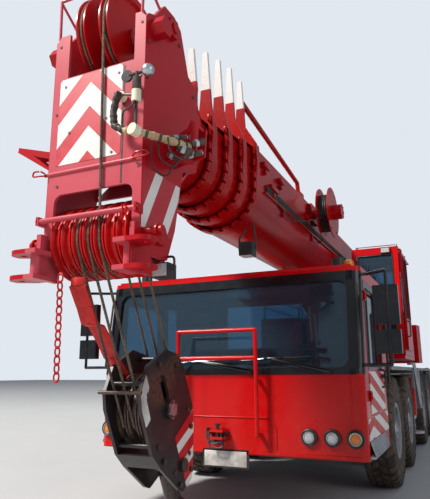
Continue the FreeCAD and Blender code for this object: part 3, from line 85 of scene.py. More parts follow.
def ball(bm, centre, radius, sides=16):
    return bmesh.ops.create_uvsphere(bm, u_segments=sides, v_segments=sides // 2, radius=radius,
                                     matrix=Matrix.Translation(centre))["verts"]


def rounded(points, bend, steps=4):
    """The path with each inner corner turned into a bend."""
    points = [Vector(p) for p in points]
    path = [points[0]]
    for before, corner, after in zip(points, points[1:], points[2:]):
        reach = min(bend, (before - corner).length * 0.45, (after - corner).length * 0.45)
        a = corner + (before - corner).normalized() * reach
        b = corner + (after - corner).normalized() * reach
        for n in range(steps + 1):
            t = n / steps
            path.append(a * (1 - t) ** 2 + corner * 2 * t * (1 - t) + b * t * t)
    path.append(points[-1])
    return path


def tube(bm, points, radius, sides=10, bend=0.0):
    """A round tube along a path: one ring at each point, bridged to the next, and closed ends."""
    path = rounded(points, bend) if bend else [Vector(p) for p in points]
    turn = Vector((0, 0, 1)).rotation_difference(path[1] - path[0])
    heading = (path[1] - path[0]).normalized()
    last = None
    for n, place in enumerate(path):
        before = (place - path[max(n - 1, 0)]).normalized()
        after = (path[min(n + 1, len(path) - 1)] - place).normalized()
        way = (before + after).normalized()
        turn = heading.rotation_difference(way) @ turn
        heading = way
        verts = bmesh.ops.create_circle(bm, cap_ends=n in (0, len(path) - 1), segments=sides, radius=radius,
                                        matrix=Matrix.LocRotScale(place, turn, None))["verts"]
        ring = list({e for v in verts for e in v.link_edges})
        if last:
            bmesh.ops.bridge_loops(bm, edges=last + ring)
        last = ring


def plate(bm, corners, depth, eased=0.0):
    """A flat plate from its corners, made as thick as depth."""
    face = bm.faces.new([bm.verts.new(c) for c in corners])
    made = bmesh.ops.extrude_face_region(bm, geom=[face], use_keep_orig=True)["geom"]
    verts = [v for v in made if isinstance(v, bmesh.types.BMVert)]
    bmesh.ops.translate(bm, verts=verts, vec=Vector(depth))
    if eased:
        rims = [e for e in bm.edges if e.verts[0] in verts and e.verts[1] in verts]
        bmesh.ops.bevel(bm, geom=rims, offset=eased, segments=2, profile=0.5, affect="EDGES", material=-1)


def turned(bm, profile, centre, axis, steps=48):
    """A round piece: the profile (along the axis, radius) spun once about the axis through centre."""
    axis = Vector(axis)
    side = axis.orthogonal().normalized()
    centre = Vector(centre)
    verts = [bm.verts.new(centre + axis * along + side * radius) for along, radius in profile]
    edges = [bm.edges.new(pair) for pair in zip(verts, verts[1:])]
    bmesh.ops.spin(bm, geom=verts + edges, cent=centre, axis=axis, angle=math.tau, steps=steps, use_merge=True)


def soften(bm, width, segments=2, least=40):
    """Eases each edge that turns more sharply than least degrees."""
    bmesh.ops.recalc_face_normals(bm, faces=bm.faces)
    sharp = [e for e in bm.edges if len(e.link_faces) == 2 and e.calc_face_angle(0) > math.radians(least)]
    bmesh.ops.bevel(bm, geom=sharp, offset=width, segments=segments, profile=0.5, affect="EDGES", material=-1,
                    clamp_overlap=True)


def finish(name, bm, material, body, replaces=(), easing=0.0, least=40):
    """Closes the mesh, gives it its material and sets it on the CAD body that carries it."""
    bmesh.ops.remove_doubles(bm, verts=bm.verts, dist=0.00002)
    if easing:
        soften(bm, easing)
    bmesh.ops.recalc_face_normals(bm, faces=bm.faces)
    mesh = bpy.data.meshes.new(name)
    bm.to_mesh(mesh)
    bm.free()
    mesh.shade_smooth()
    mesh.set_sharp_from_angle(angle=math.radians(least))
    mesh.materials.append(material)
    piece = bpy.data.objects.new(name, mesh)
    bpy.context.scene.collection.objects.link(piece)
    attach(piece, body)
    if replaces:
        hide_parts(*replaces)
    return piece


# Paints and other finishes

class Recipe:
    """Builds one material out of nodes that read Object coordinates."""

    def __init__(self, name, colour, roughness=0.5, metallic=0.0):
        self.material = bpy.data.materials.new(name)
        self.material.use_nodes = True
        self.nodes = self.material.node_tree.nodes
        self.links = self.material.node_tree.links
        self.shader = self.nodes["Principled BSDF"]
        self.place = self.nodes.new("ShaderNodeTexCoord").outputs["Object"]
        self.shader.inputs["Roughness"].default_value = roughness
        self.shader.inputs["Metallic"].default_value = metallic
        self.shader.inputs["Base Color"].default_value = colour
        self.colour = colour

    def set(self, **values):
        for name, value in values.items():
            self.shader.inputs[name.replace("_", " ")].default_value = value
        return self

    def moved(self, scale=(1, 1, 1), turn=(0, 0, 0), shift=(0, 0, 0)):
        mapping = self.nodes.new("ShaderNodeMapping")
        self.links.new(self.place, mapping.inputs["Vector"])
        mapping.inputs["Scale"].default_value = scale
        mapping.inputs["Rotation"].default_value = [math.radians(a) for a in turn]
        mapping.inputs["Location"].default_value = shift
        return mapping.outputs["Vector"]

    def noise(self, scale, detail=4.0, low=0.4, high=0.6, vector=None, rough=0.55):
        """A noise from 0 to 1, with its contrast between low and high."""
        made = self.nodes.new("ShaderNodeTexNoise")
        self.links.new(vector or self.place, made.inputs["Vector"])
        made.inputs["Scale"].default_value = scale
        made.inputs["Detail"].default_value = detail
        made.inputs["Roughness"].default_value = rough
        return self.ranged(made.outputs["Fac"], low, high)

    def ranged(self, value, low, high, first=0.0, last=1.0):
        made = self.nodes.new("ShaderNodeMapRange")
        self.links.new(value, made.inputs["Value"])
        for socket, number in zip(("From Min", "From Max", "To Min", "To Max"), (low, high, first, last)):
            made.inputs[socket].default_value = number
        return made.outputs["Result"]

    def sum(self, operation, first, second=None):
        made = self.nodes.new("ShaderNodeMath")
        made.operation = operation
        for socket, value in zip(made.inputs, (first, second)):
            if value is None:
                continue
            if isinstance(value, (int, float)):
                socket.default_value = value
            else:
                self.links.new(value, socket)
        return made.outputs["Value"]

    def axis(self, letter):
        made = self.nodes.new("ShaderNodeSeparateXYZ")
        self.links.new(self.place, made.inputs["Vector"])
        return made.outputs[letter.upper()]

    def over(self, colour, mask):
        """Lays a second colour over the first where the mask is 1."""
        mix = self.nodes.new("ShaderNodeMix")
        mix.data_type = "RGBA"
        base = self.shader.inputs["Base Color"]
        if base.links:
            self.links.new(base.links[0].from_socket, mix.inputs["A"])
        else:
            mix.inputs["A"].default_value = self.colour
        mix.inputs["B"].default_value = colour
        self.links.new(mask, mix.inputs["Factor"])
        self.links.new(mix.outputs["Result"], base)
        return self

    def drive(self, socket, value):
        self.links.new(value, self.shader.inputs[socket])
        return self

    def bump(self, height, strength=0.3, distance=0.002):
        made = self.nodes.new("ShaderNodeBump")
        made.inputs["Strength"].default_value = strength
        made.inputs["Distance"].default_value = distance
        self.links.new(height, made.inputs["Height"])
        normal = self.shader.inputs["Normal"]
        if normal.links:
            self.links.new(normal.links[0].from_socket, made.inputs["Normal"])
        self.links.new(made.outputs["Normal"], normal)
        return self


DUST = shade(150, 118, 92)


def sprayed(name, colour, faded, roughness=0.28, dust=0.35, low=0.6, high=1.7):
    """Sprayed paint: slightly uneven colour, dust that thickens towards the ground, fine orange peel and a clear coat."""
    made = Recipe(name, colour, roughness)
    made.over(faded, made.noise(1.3, 5, 0.42, 0.66))
    streaks = made.noise(6, 6, 0.52, 0.75, made.moved((1, 1, 0.12)))
    made.over([c * 0.55 for c in colour[:3]] + [1], made.sum("MULTIPLY", streaks, 0.35))
    height = made.ranged(made.axis("z"), low, high, dust, dust * 0.16)
    grains = made.noise(9, 8, 0.35, 0.7, None, 0.7)
    film = made.sum("MULTIPLY", height, grains)
    made.over(DUST, film)
    made.drive("Roughness", made.ranged(film, 0, 0.5, roughness, 0.75))
    made.set(Coat_Weight=0.12, Coat_Roughness=0.12, Specular_IOR_Level=0.16)
    return made.bump(made.noise(420, 2, 0.3, 0.7), 0.03, 0.0006)


def striped(name, red, white, pitch, slope, across="x", fold=True, middle=0.0, share=0.5, start=0.0):
    """Red and white warning stripes: folded into chevrons about the middle, or plain slanting bands."""
    made = Recipe(name, red, 0.35)
    side = made.sum("SUBTRACT", made.axis(across), middle)
    if fold:
        side = made.sum("ABSOLUTE", side)
    along = made.sum("ADD", made.sum("ADD", made.axis("z"), made.sum("MULTIPLY", side, slope)), start)
    band = made.sum("GREATER_THAN", made.sum("FRACT", made.sum("DIVIDE", along, pitch)), 1 - share)
    made.over(white, band)
    made.over(DUST, made.sum("MULTIPLY", made.noise(7, 8, 0.5, 0.85), 0.22))
    made.over([c * 0.5 for c in DUST[:3]] + [1], made.sum("MULTIPLY", made.noise(38, 4, 0.66, 0.74), 0.35))
    made.drive("Roughness", made.ranged(made.noise(12, 4, 0.2, 0.8), 0, 1, 0.3, 0.55))
    return made


def plain(name, colour, roughness=0.5, metallic=0.0, faded=None, dust=0.2, grain=60, strength=0.12):
    """Rubber, plastic, bare metal or dull paint with uneven colour and a light dust."""
    made = Recipe(name, colour, roughness, metallic)
    made.over(faded or [min(1, c * 1.6 + 0.01) for c in colour[:3]] + [1], made.noise(4, 6, 0.4, 0.7))
    made.over(DUST, made.sum("MULTIPLY", made.noise(11, 8, 0.42, 0.8), dust))
    made.drive("Roughness", made.ranged(made.noise(16, 4, 0.3, 0.7), 0, 1, roughness * 0.8, min(1, roughness * 1.25)))
    return made.bump(made.noise(grain, 4, 0.3, 0.7), strength, 0.0015)


FINISH = {}


def make_finishes(look):
    red, pale, white = tuple(look.red), tuple(look.sunlit_head_red), tuple(look.white)
    FINISH["body_red"] = sprayed("Body red", red, shade(180, 4, 12), 0.22, 0.09).material
    FINISH["boom_red"] = sprayed("Boom red", shade(168, 2, 6), shade(148, 2, 7), 0.24, 0.05).material
    # The head's front is pale pink, which is painted sunlight; its cheeks, where |x| passes 0.4215, get a deeper,
    # darker red, which is painted shade
    head = sprayed("Head red with painted sunlight and shade", pale, shade(198, 88, 98), 0.36, 0.06)
    shaded_cheek = head.sum("GREATER_THAN", head.sum("ABSOLUTE", head.axis("x")), 0.4215)
    head.over(shade(172, 3, 18), head.sum("MULTIPLY", shaded_cheek, 0.95))
    # The wind gauge's post and cups, which stand before the head's face, are black
    low, high = head.sum("GREATER_THAN", head.axis("z"), 3.02), head.sum("LESS_THAN", head.axis("z"), 3.62)
    before = head.sum("LESS_THAN", head.axis("y"), behind(-2.285))
    head.over(shade(26, 26, 28), head.sum("MULTIPLY", before, head.sum("MULTIPLY", low, high)))
    FINISH["head_red"] = head.material
    FINISH["sheave_red"] = sprayed("Sheave red", shade(190, 8, 12), shade(164, 10, 14), 0.32, 0.1).material

    collar = sprayed("Boom collar red with white horns", shade(170, 3, 7), shade(148, 3, 8), 0.26, 0.05)
    ahead = collar.sum("LESS_THAN", collar.axis("y"), NOSE)
    height = collar.sum("SUBTRACT", collar.axis("z"), collar.sum("MULTIPLY", collar.axis("y"), 0.25))
    tip = collar.sum("GREATER_THAN", height, 4.3625 - 0.25 * NOSE)
    collar.over(white, collar.sum("MULTIPLY", ahead, tip))
    collar.over(shade(120, 100, 92), collar.sum("MULTIPLY", collar.noise(26, 6, 0.58, 0.7), 0.2))
    FINISH["collar_red"] = collar.material

    FINISH["chevrons"] = striped("Chevrons on the head", shade(196, 46, 60), white, look.chevron_pitch, 1.04,
                                 middle=-0.06, share=0.548, start=-3.245).material
    FINISH["cheek_stripes"] = striped("Stripes on the head's cheek", shade(180, 26, 40), white, 0.57, -1.9, "y", False,
                                      middle=NOSE, share=0.35, start=0.08).material
    FINISH["side_stripes"] = striped("Slanting side stripes", shade(188, 10, 20), white, 0.20, 0.27, "y", True,
                                     middle=NOSE + 0.33, start=0.08).material
    FINISH["rear_stripes"] = striped("Slanting rear stripes", shade(196, 18, 28), white, 0.28, 1.0).material
    FINISH["block_stripes"] = striped("Stripes on the hook block", shade(196, 18, 28), white, 0.19, -0.55, "y", False,
                                      share=0.45).material

    FINISH["rubber"] = plain("Tyre rubber", shade(50, 46, 44), 0.85, faded=shade(80, 68, 60), dust=0.5, grain=90,
                             strength=0.25).material
    # Near-black for the painted shade in the head face's gap
    FINISH["seal"] = plain("Rubber seal", shade(22, 22, 23), 0.6, dust=0.08).material
    FINISH["rim"] = plain("Wheel grey", shade(150, 152, 155), 0.42, 0.55, dust=0.35).material
    FINISH["steel"] = plain("Bright steel", shade(176, 178, 182), 0.3, 0.9, dust=0.08, grain=200, strength=0.05).material
    FINISH["zinc"] = plain("Galvanised sheet", shade(168, 172, 176), 0.42, 0.75, faded=shade(140, 146, 152), dust=0.14).material
    FINISH["chassis"] = plain("Chassis grey", shade(66, 68, 72), 0.55, faded=shade(88, 86, 84), dust=0.4).material
    FINISH["engine"] = plain("Engine grey", shade(92, 94, 96), 0.5, 0.4, dust=0.35).material
    FINISH["leg"] = plain("Outrigger grey", shade(168, 170, 172), 0.4, 0.3, dust=0.25).material
    FINISH["chrome"] = plain("Chromed rod", shade(214, 216, 220), 0.14, 1.0, shade(200, 202, 206), 0.05, 300, 0.02).material
    FINISH["gloss_black"] = plain("Glossy black", shade(14, 15, 18), 0.16, faded=shade(24, 26, 30), dust=0.03, grain=300,
                                  strength=0.02).material
    FINISH["black"] = plain("Black plastic", shade(26, 26, 28), 0.45, dust=0.16).material
    FINISH["cloth"] = plain("Seat cloth", shade(52, 54, 60), 0.95, dust=0.1, grain=400, strength=0.3).material
    FINISH["tape"] = plain("Beige insulating tape", shade(196, 170, 130), 0.6, faded=shade(150, 118, 84), dust=0.2).material
    FINISH["strap"] = plain("Red webbing", shade(206, 20, 22), 0.6, faded=shade(168, 14, 18), dust=0.06, grain=300,
                            strength=0.3).material
    FINISH["worn_white"] = plain("Worn white paint", shade(220, 218, 214), 0.5, faded=shade(120, 112, 106), dust=0.3).material
    FINISH["cream"] = plain("Cream panel", shade(214, 204, 180), 0.6, dust=0.15).material
    FINISH["hose"] = plain("Hydraulic hose", shade(24, 24, 26), 0.5, dust=0.22, grain=240, strength=0.2).material

    deck = plain("Chequer plate deck", shade(140, 142, 145), 0.45, 0.7, shade(116, 116, 118), 0.35)
    lozenge = deck.nodes.new("ShaderNodeTexWave")
    deck.links.new(deck.moved((1, 1, 1), (0, 0, 45)), lozenge.inputs["Vector"])
    lozenge.inputs["Scale"].default_value = 14
    other = deck.nodes.new("ShaderNodeTexWave")
    deck.links.new(deck.moved((1, 1, 1), (0, 0, -45)), other.inputs["Vector"])
    other.inputs["Scale"].default_value = 14
    deck.bump(deck.sum("GREATER_THAN", deck.sum("MULTIPLY", lozenge.outputs["Fac"], other.outputs["Fac"]), 0.6), 0.35, 0.003)
    FINISH["deck"] = deck.material

    worn = Recipe("Worn black block paint", shade(36, 30, 32), 0.34)
    worn.over(shade(56, 44, 44), worn.noise(6, 6, 0.45, 0.7))
    edge = worn.nodes.new("ShaderNodeNewGeometry").outputs["Pointiness"]
    chipped = worn.sum("MULTIPLY", worn.ranged(edge, 0.5, 0.56), worn.noise(30, 6, 0.35, 0.6))
    scuffs = worn.sum("MULTIPLY", worn.noise(14, 8, 0.66, 0.74), 0.35)
    worn.over(shade(108, 72, 52), worn.sum("MAXIMUM", worn.sum("MULTIPLY", chipped, 0.6), scuffs))
    worn.bump(worn.noise(70, 4, 0.3, 0.7), 0.15, 0.001)
    FINISH["block"] = worn.material

    rope = Recipe("Greased wire rope", shade(112, 96, 82), 0.5, 0.6)
    rope.over(shade(70, 58, 50), rope.noise(5, 4, 0.4, 0.65))
    rope.over(shade(160, 140, 120), rope.sum("MULTIPLY", rope.noise(90, 3, 0.5, 0.65), 0.6))
    rope.bump(rope.noise(500, 2, 0.3, 0.7), 0.3, 0.001)
    FINISH["rope"] = rope.material

    glass = Recipe("Cab glass", shade(98, 140, 166), 0.03)
    glass.set(Transmission_Weight=0.92, IOR=1.45, Coat_Weight=0.4)
    glass.over(DUST, glass.sum("MULTIPLY", glass.noise(5, 8, 0.45, 0.9), 0.08))
    glass.drive("Roughness", glass.ranged(glass.noise(5, 8, 0.45, 0.9), 0, 1, 0.02, 0.16))
    FINISH["glass"] = glass.material

    mirror = Recipe("Mirror glass", shade(222, 226, 230), 0.04, 1.0)
    mirror.over(shade(190, 192, 196), mirror.noise(5, 4, 0.5, 0.8))
    FINISH["mirror"] = mirror.material

    def lens(name, colour, clear):
        made = Recipe(name, colour, 0.12)
        made.set(Transmission_Weight=clear, IOR=1.46, Coat_Weight=0.6)
        made.over([c * 0.7 for c in colour[:3]] + [1], made.noise(30, 3, 0.4, 0.7))
        ribs = made.nodes.new("ShaderNodeTexWave")
        made.links.new(made.place, ribs.inputs["Vector"])
        ribs.inputs["Scale"].default_value = 26
        made.bump(ribs.outputs["Fac"], 0.25, 0.002)
        return made.material
    FINISH["lens_clear"] = lens("Clear lamp lens", shade(232, 234, 236), 0.35)
    FINISH["lens_amber"] = lens("Amber lens", shade(246, 140, 26), 0.25)

    # Lamp cases, with the rear clusters' outer face in red and its middle third in amber
    cases = plain("Lamp cases", shade(26, 26, 28), 0.4, dust=0.12)
    rear = cases.sum("GREATER_THAN", cases.axis("y"), behind(10.643))
    cases.over(shade(176, 14, 18), rear)
    third = cases.sum("ABSOLUTE", cases.sum("SUBTRACT", cases.sum("ABSOLUTE", cases.axis("x")), 1.25))
    cases.over(shade(236, 128, 24), cases.sum("MULTIPLY", rear, cases.sum("LESS_THAN", third, 0.06)))
    FINISH["lamp_cases"] = cases.material


# CAD nodes, with the finish that each one gets. A name that ends in * stands for all nodes that start so.
NODE_FINISH = {
    "tyre_*": "rubber", "rim_*": "rim", "knuckle_*": "chassis", "axle_beams": "chassis", "carrier_engine": "engine",
    "carrier_frame": "chassis", "carrier_deck": "deck", "cab_shell": "body_red", "cab_glass": "glass", "door_*": "body_red",
    "cab_interior": "cloth", "cab_guard": "body_red", "mirrors": "gloss_black", "lamps": "lamp_cases", "outrigger_beam_*": "body_red",
    "outrigger_leg_*": "leg", "turntable": "body_red", "counterweight": "body_red", "hoist_winch": "chassis",
    "crane_cab_shell": "body_red", "crane_cab_glass": "glass", "crane_cab_seat": "cloth", "crane_cab_door": "body_red",
    "luff_barrel": "body_red", "luff_rod": "chrome", "boom_base": "collar_red", "boom_section_*": "collar_red",
    "boom_section_5": "boom_red", "boom_head": "head_red", "head_sheaves": "sheave_red", "hoist_ropes": "rope",
    "hook_block": "block", "hook": "block",
}


def finish_for(node):
    if node in NODE_FINISH:
        return NODE_FINISH[node]
    fits = [key for key in NODE_FINISH if key.endswith("*") and node.startswith(key[:-1])]
    if not fits:
        raise RuntimeError("no finish for node " + node)
    return NODE_FINISH[max(fits, key=len)]


# Wheels. Columns: name, axle behind the bumper, side.
WHEELS = [("%d%s" % (n, letter), axle, side)
          for n, axle in enumerate((2.4, 4.05, 6.95, 8.6), 1)
          for letter, side in (("l", 1), ("r", -1))]
WHEEL_X, WHEEL_Z, RIM = 1.275, 0.685, 0.318
# Lamps in the front panel. Columns: x, radius, kind
LAMPS = ((0.93, 0.062, "clear"), (1.15, 0.062, "clear"), (1.365, 0.066, "amber"))


def tread_tyre(centre, size):
    """One tyre: a spun carcass with a beaded wall, and tread lugs round it."""
    bm = bmesh.new()
    half = 0.195
    floor = WHEEL_Z - size.tread_depth
    profile = [(-0.150, RIM + 0.002), (-0.158, RIM + 0.022), (-0.172, RIM + 0.044), (-0.184, RIM + 0.05), (-0.187, RIM + 0.075),
               (-0.194, RIM + 0.12), (-0.1945, RIM + 0.165), (-0.1905, RIM + 0.17), (-0.1905, RIM + 0.185), (-0.194, RIM + 0.19),
               (-0.191, RIM + 0.24), (-0.184, floor - 0.075), (-0.178, floor - 0.04), (-0.165, floor - 0.012), (-0.14, floor)]
    profile += [(-a, r) for a, r in reversed(profile)]
    turned(bm, profile, (0, 0, 0), (1, 0, 0), 72)
    inner = [v for v in bm.verts if abs(Vector((0, v.co.y, v.co.z)).length - (RIM + 0.002)) < 0.001]
    rims = [e for e in bm.edges if e.is_boundary and e.verts[0] in inner]
    bmesh.ops.bridge_loops(bm, edges=rims)
    for n in range(size.lug_count):
        for side in BOTH:
            turn = Matrix.Rotation(math.tau * (n + (0.5 if side < 0 else 0)) / size.lug_count, 4, "X")
            outer = [(0.098, 0.0, floor - 0.012), (0.186, 0.0, floor - 0.055), (0.1935, 0.0, floor - 0.07)]
            pitch = math.tau * WHEEL_Z / size.lug_count
            wide, slant = pitch * 0.31, pitch * 0.16
            shoulder = [bm.verts.new(turn @ Vector((x * side, s * wide + y_off, z)))
                        for s in BOTH
                        for x, y_off, z in ((0.098, -slant, floor - 0.006), (0.098, -slant, WHEEL_Z - 0.002),
                                            (0.15, 0, WHEEL_Z - 0.006), (0.181, slant, WHEEL_Z - 0.026),
                                            (0.1945, slant, floor - 0.05), (0.188, slant, floor - 0.07))]
            bmesh.ops.convex_hull(bm, input=shoulder)
            middle = [bm.verts.new(turn @ Vector((x * side, y + s * wide * 0.9, z)))
                      for s in BOTH
                      for x, y, z in ((0.010, slant, floor - 0.004), (0.010, slant, WHEEL_Z), (0.086, -slant, floor - 0.004),
                                      (0.086, -slant, WHEEL_Z - 0.001))]
            bmesh.ops.convex_hull(bm, input=middle)
    loose = [v for v in bm.verts if not v.link_faces]
    bmesh.ops.delete(bm, geom=loose, context="VERTS")
    # The lugs' outer corners come back to the tyre's own radius
    for v in bm.verts:
        reach = math.hypot(v.co.y, v.co.z)
        if reach > WHEEL_Z - 0.0003:
            v.co.y *= (WHEEL_Z - 0.0003) / reach
            v.co.z *= (WHEEL_Z - 0.0003) / reach
    bmesh.ops.translate(bm, verts=bm.verts, vec=Vector(centre))
    return bm


class CRANE_OT_tyres(bpy.types.Operator):
    """Builds the eight tyres with their road tread"""
    bl_idname = "crane.tyres"
    bl_label = "Tyres"

    def execute(self, context):
        for name, axle, side in WHEELS:
            bm = tread_tyre((WHEEL_X * side, behind(axle), WHEEL_Z), context.scene.crane_sizes)
            finish("tread_tyre_" + name, bm, FINISH["rubber"], "wheel_" + name, ["tyre_" + name], least=30)
        return {"FINISHED"}


class CRANE_OT_wheel_trim(bpy.types.Operator):
    """Adds the wheel nuts, the lock ring and the hub cap of each wheel"""
    bl_idname = "crane.wheel_trim"
    bl_label = "Wheel nuts and hub caps"

    def execute(self, context):
        count = context.scene.crane_sizes.wheel_nuts
        for name, axle, side in WHEELS:
            bm = bmesh.new()
            centre = Vector((WHEEL_X * side, behind(axle), WHEEL_Z))
            out = Vector((side, 0, 0))
            for n in range(count):
                turn = Matrix.Rotation(math.tau * n / count, 3, "X")
                place = centre + turn @ Vector((0, 0, 0.118))
                rod(bm, place + out * 0.09, place + out * 0.148, 0.014, 6)
                rod(bm, place + out * 0.148, place + out * 0.162, 0.008, 8)
            turned(bm, [(0.163, 0.001), (0.181, 0.001), (0.178, 0.045), (0.166, 0.058), (0.158, 0.06), (0.158, 0.001)], centre, out, 24)
            turned(bm, [(0.150, RIM + 0.004), (0.176, RIM + 0.004), (0.181, RIM + 0.012), (0.181, RIM + 0.024), (0.174, RIM + 0.032),
                        (0.150, RIM + 0.032), (0.150, RIM + 0.004)], centre, out, 64)
            for n in range(8):
                turn = Matrix.Rotation(math.tau * (n + 0.5) / 8, 3, "X")
                rod(bm, centre + turn @ Vector((0.0585 * side, 0, 0.215)), centre + turn @ Vector((0.0635 * side, 0, 0.215)), 0.03, 16)
            finish("wheel_nuts_" + name, bm, FINISH["zinc"], "wheel_" + name)
        return {"FINISHED"}


class CRANE_OT_cab_front(bpy.types.Operator):
    """Adds the windscreen frame, pillars, wipers, panel lines, lamp lenses and tow coupling to the carrier cab"""
    bl_idname = "crane.cab_front"
    bl_label = "Carrier cab front"

    def execute(self, context):
        lean = 0.15 / (2.47 - 1.4)

        def face(x, z, out=0.0):
            """A point on the cab's front face, moved outwards."""
            step = max(0.0, z - 1.4) * lean
            tilt = math.atan(lean) if z > 1.4 else 0
            return Vector((x, behind(step) - out * math.cos(tilt), z + out * math.sin(tilt)))

        # Black frame round the windscreen. Columns: inner x, outer x, low z, high z
        bm = bmesh.new()
        for x0, x1, z0, z1 in ((-1.395, 1.395, 1.404, 1.470), (-1.395, 1.395, 2.325, 2.425), (-1.395, -1.335, 1.404, 2.425),
                               (1.335, 1.395, 1.404, 2.425)):
            plate(bm, [face(x0, z0, 0.001), face(x1, z0, 0.001), face(x1, z1, 0.001), face(x0, z1, 0.001)], (0, -0.005, 0))
        for x, z in ((-1.335, 1.47), (1.335, 1.47), (-1.335, 2.325), (1.335, 2.325)):
            u, v = (1 if x < 0 else -1), (1 if z < 2 else -1)
            plate(bm, [face(x, z, 0.002), face(x + 0.07 * u, z, 0.002), face(x + 0.028 * u, z + 0.028 * v, 0.002),
                       face(x, z + 0.07 * v, 0.002)], (0, -0.004, 0))
        # Dark pillars that follow the rounded corners. Columns: angle round the corner
        for side in BOTH:
            for a, b in ((-4, 22), (22, 45), (45, 68), (68, 94)):
                verts = []
                for z in (1.41, 2.42):
                    for angle, radius in ((a, 0.0705), (b, 0.0705), (b, 0.0765), (a, 0.0765)):
                        turn = math.radians(angle)
                        step = (z - 1.4) * lean
                        verts.append(bm.verts.new((side * (1.40 + math.sin(turn) * radius),
                                                   behind(step + 0.07 - math.cos(turn) * radius), z)))
                bmesh.ops.convex_hull(bm, input=verts)
        finish("windscreen_frame", bm, FINISH["gloss_black"], "carrier")

        bm = bmesh.new()
        # Wipers. Columns: pivot x, tip x, tip z
        for pivot, tip_x, tip_z in ((-0.55, -1.15, 1.55), (0.35, -0.25, 1.54), (1.15, 0.55, 1.56)):
            rod(bm, face(pivot, 1.425, 0.0), face(pivot, 1.425, 0.045), 0.022, 12)
            tube(bm, [face(pivot, 1.425, 0.036), face((pivot + tip_x) / 2, (1.425 + tip_z) / 2, 0.05),
                      face(tip_x, tip_z, 0.03)], 0.012, 8)
            tube(bm, [face(pivot, 1.445, 0.036), face((pivot + tip_x) / 2, (1.46 + tip_z) / 2, 0.046),
                      face(tip_x + 0.06, tip_z, 0.034)], 0.007, 6)
            a, b = face(tip_x - 0.30, tip_z - 0.02, 0.022), face(tip_x + 0.42, tip_z + 0.02, 0.022)
            tube(bm, [a, b], 0.013, 8)
            tube(bm, [a.lerp(b, 0.2) + Vector((0, -0.008, 0.002)), a.lerp(b, 0.42) + Vector((0, -0.02, 0.006)),
                      a.lerp(b, 0.64) + Vector((0, -0.008, 0.002))], 0.006, 6)
        finish("wipers", bm, FINISH["gloss_black"], "carrier")

        bm = bmesh.new()
        # Raised ribs of the front panel. Columns: start x, start z, end x, end z
        for x0, z0, x1, z1 in ((-0.52, 0.985, 0.52, 0.985), (0.52, 0.985, 0.60, 0.90), (-0.52, 0.985, -0.60, 0.90),
                               (0.60, 0.90, 0.60, 0.70), (-0.60, 0.90, -0.60, 0.70), (1.345, 0.94, 1.345, 1.38),
                               (-1.345, 0.94, -1.345, 1.38)):
            tube(bm, [face(x0, z0, 0.001), face(x1, z1, 0.001)], 0.008, 8)
        block(bm, (-1.40, behind(-0.012), 0.640), (1.40, behind(0.02), 0.672))
        block(bm, (-1.385, behind(0.148), 2.466), (1.385, behind(0.30), 2.490))
        finish("front_panel_ribs", bm, FINISH["body_red"], "carrier", easing=0.003)

        # Lamp rings and lenses. Columns: x, radius, kind
        rings, clear, amber, dark = (bmesh.new() for _ in range(4))
        for side in BOTH:
            for x, radius, kind in LAMPS:
                centre = Vector((x * side, behind(-0.026), 0.825))
                out = Vector((0, -1, 0))
                turned(dark, [(0.004, radius - 0.004), (0.010, radius + 0.006), (0.004, radius + 0.016),
                              (-0.014, radius + 0.016), (-0.014, radius - 0.004), (0.004, radius - 0.004)], centre, out, 40)
                turned(rings, [(0.008, radius - 0.018), (0.014, radius - 0.016), (0.016, radius - 0.008),
                               (0.006, radius - 0.003), (-0.010, radius - 0.003), (-0.010, radius - 0.018),
                               (0.008, radius - 0.018)], centre, out, 40)
                turned(clear if kind == "clear" else amber,
                       [(0.014, 0.0005), (0.013, radius * 0.35), (0.010, radius * 0.6), (0.006, radius - 0.017),
                        (-0.004, radius - 0.017), (-0.004, 0.0005)], centre, out, 32)
            turned(amber, [(0, 0.0005), (0, 0.058), (0.08, 0.062), (0.13, 0.054), (0.150, 0.03), (0.154, 0.0005)],
                   (1.28 * side, behind(0.60), 2.478), (0, 0, 1), 32)
            turned(dark, [(0, 0.0005), (0, 0.078), (0.018, 0.078), (0.024, 0.062), (0.024, 0.0005)],
                   (1.28 * side, behind(0.60), 2.47), (0, 0, 1), 32)
        finish("lamp_bezels", dark, FINISH["black"], "carrier")
        finish("lamp_rings", rings, FINISH["steel"], "carrier")
        finish("head_lamp_lenses", clear, FINISH["lens_clear"], "carrier")
        finish("amber_lenses", amber, FINISH["lens_amber"], "carrier")

        bm = bmesh.new()
        block(bm, (-0.17, behind(-0.020), 0.515), (0.29, behind(-0.012), 0.660))
        finish("blank_plate", bm, FINISH["worn_white"], "carrier", easing=0.002)
        bm = bmesh.new()
        block(bm, (-0.19, behind(-0.012), 0.500), (0.31, behind(0.01), 0.675))
        rod(bm, (0, behind(-0.07), 0.74), (0, behind(-0.07), 0.915), 0.018, 16)
        rod(bm, (0, behind(-0.07), 0.905), (0, behind(-0.07), 0.925), 0.03, 16)
        # Hoses that loop about the jaw. Columns: start x, start z, drop, end x, radius
        for x0, z0, drop, x1, radius in ((-0.13, 0.86, 0.10, 0.02, 0.010), (-0.10, 0.84, 0.14, 0.06, 0.008),
                                         (0.05, 0.86, 0.12, -0.08, 0.010), (0.09, 0.83, 0.08, -0.03, 0.008)):
            tube(bm, [(x0, behind(0.0), z0), (x0, behind(-0.06), z0 + 0.01), (x0 * 0.8, behind(-0.10), z0 - drop),
                      (x1, behind(-0.09), z0 - drop - 0.01), (x1, behind(-0.04), z0 - 0.04), (x1, behind(0.0), z0 - 0.05)],
                 radius, 8, 0.04)
            rod(bm, (x0, behind(0.004), z0), (x0, behind(-0.03), z0), 0.018, 12)
        finish("tow_pin_and_lines", bm, FINISH["black"], "carrier")
        return {"FINISHED"}


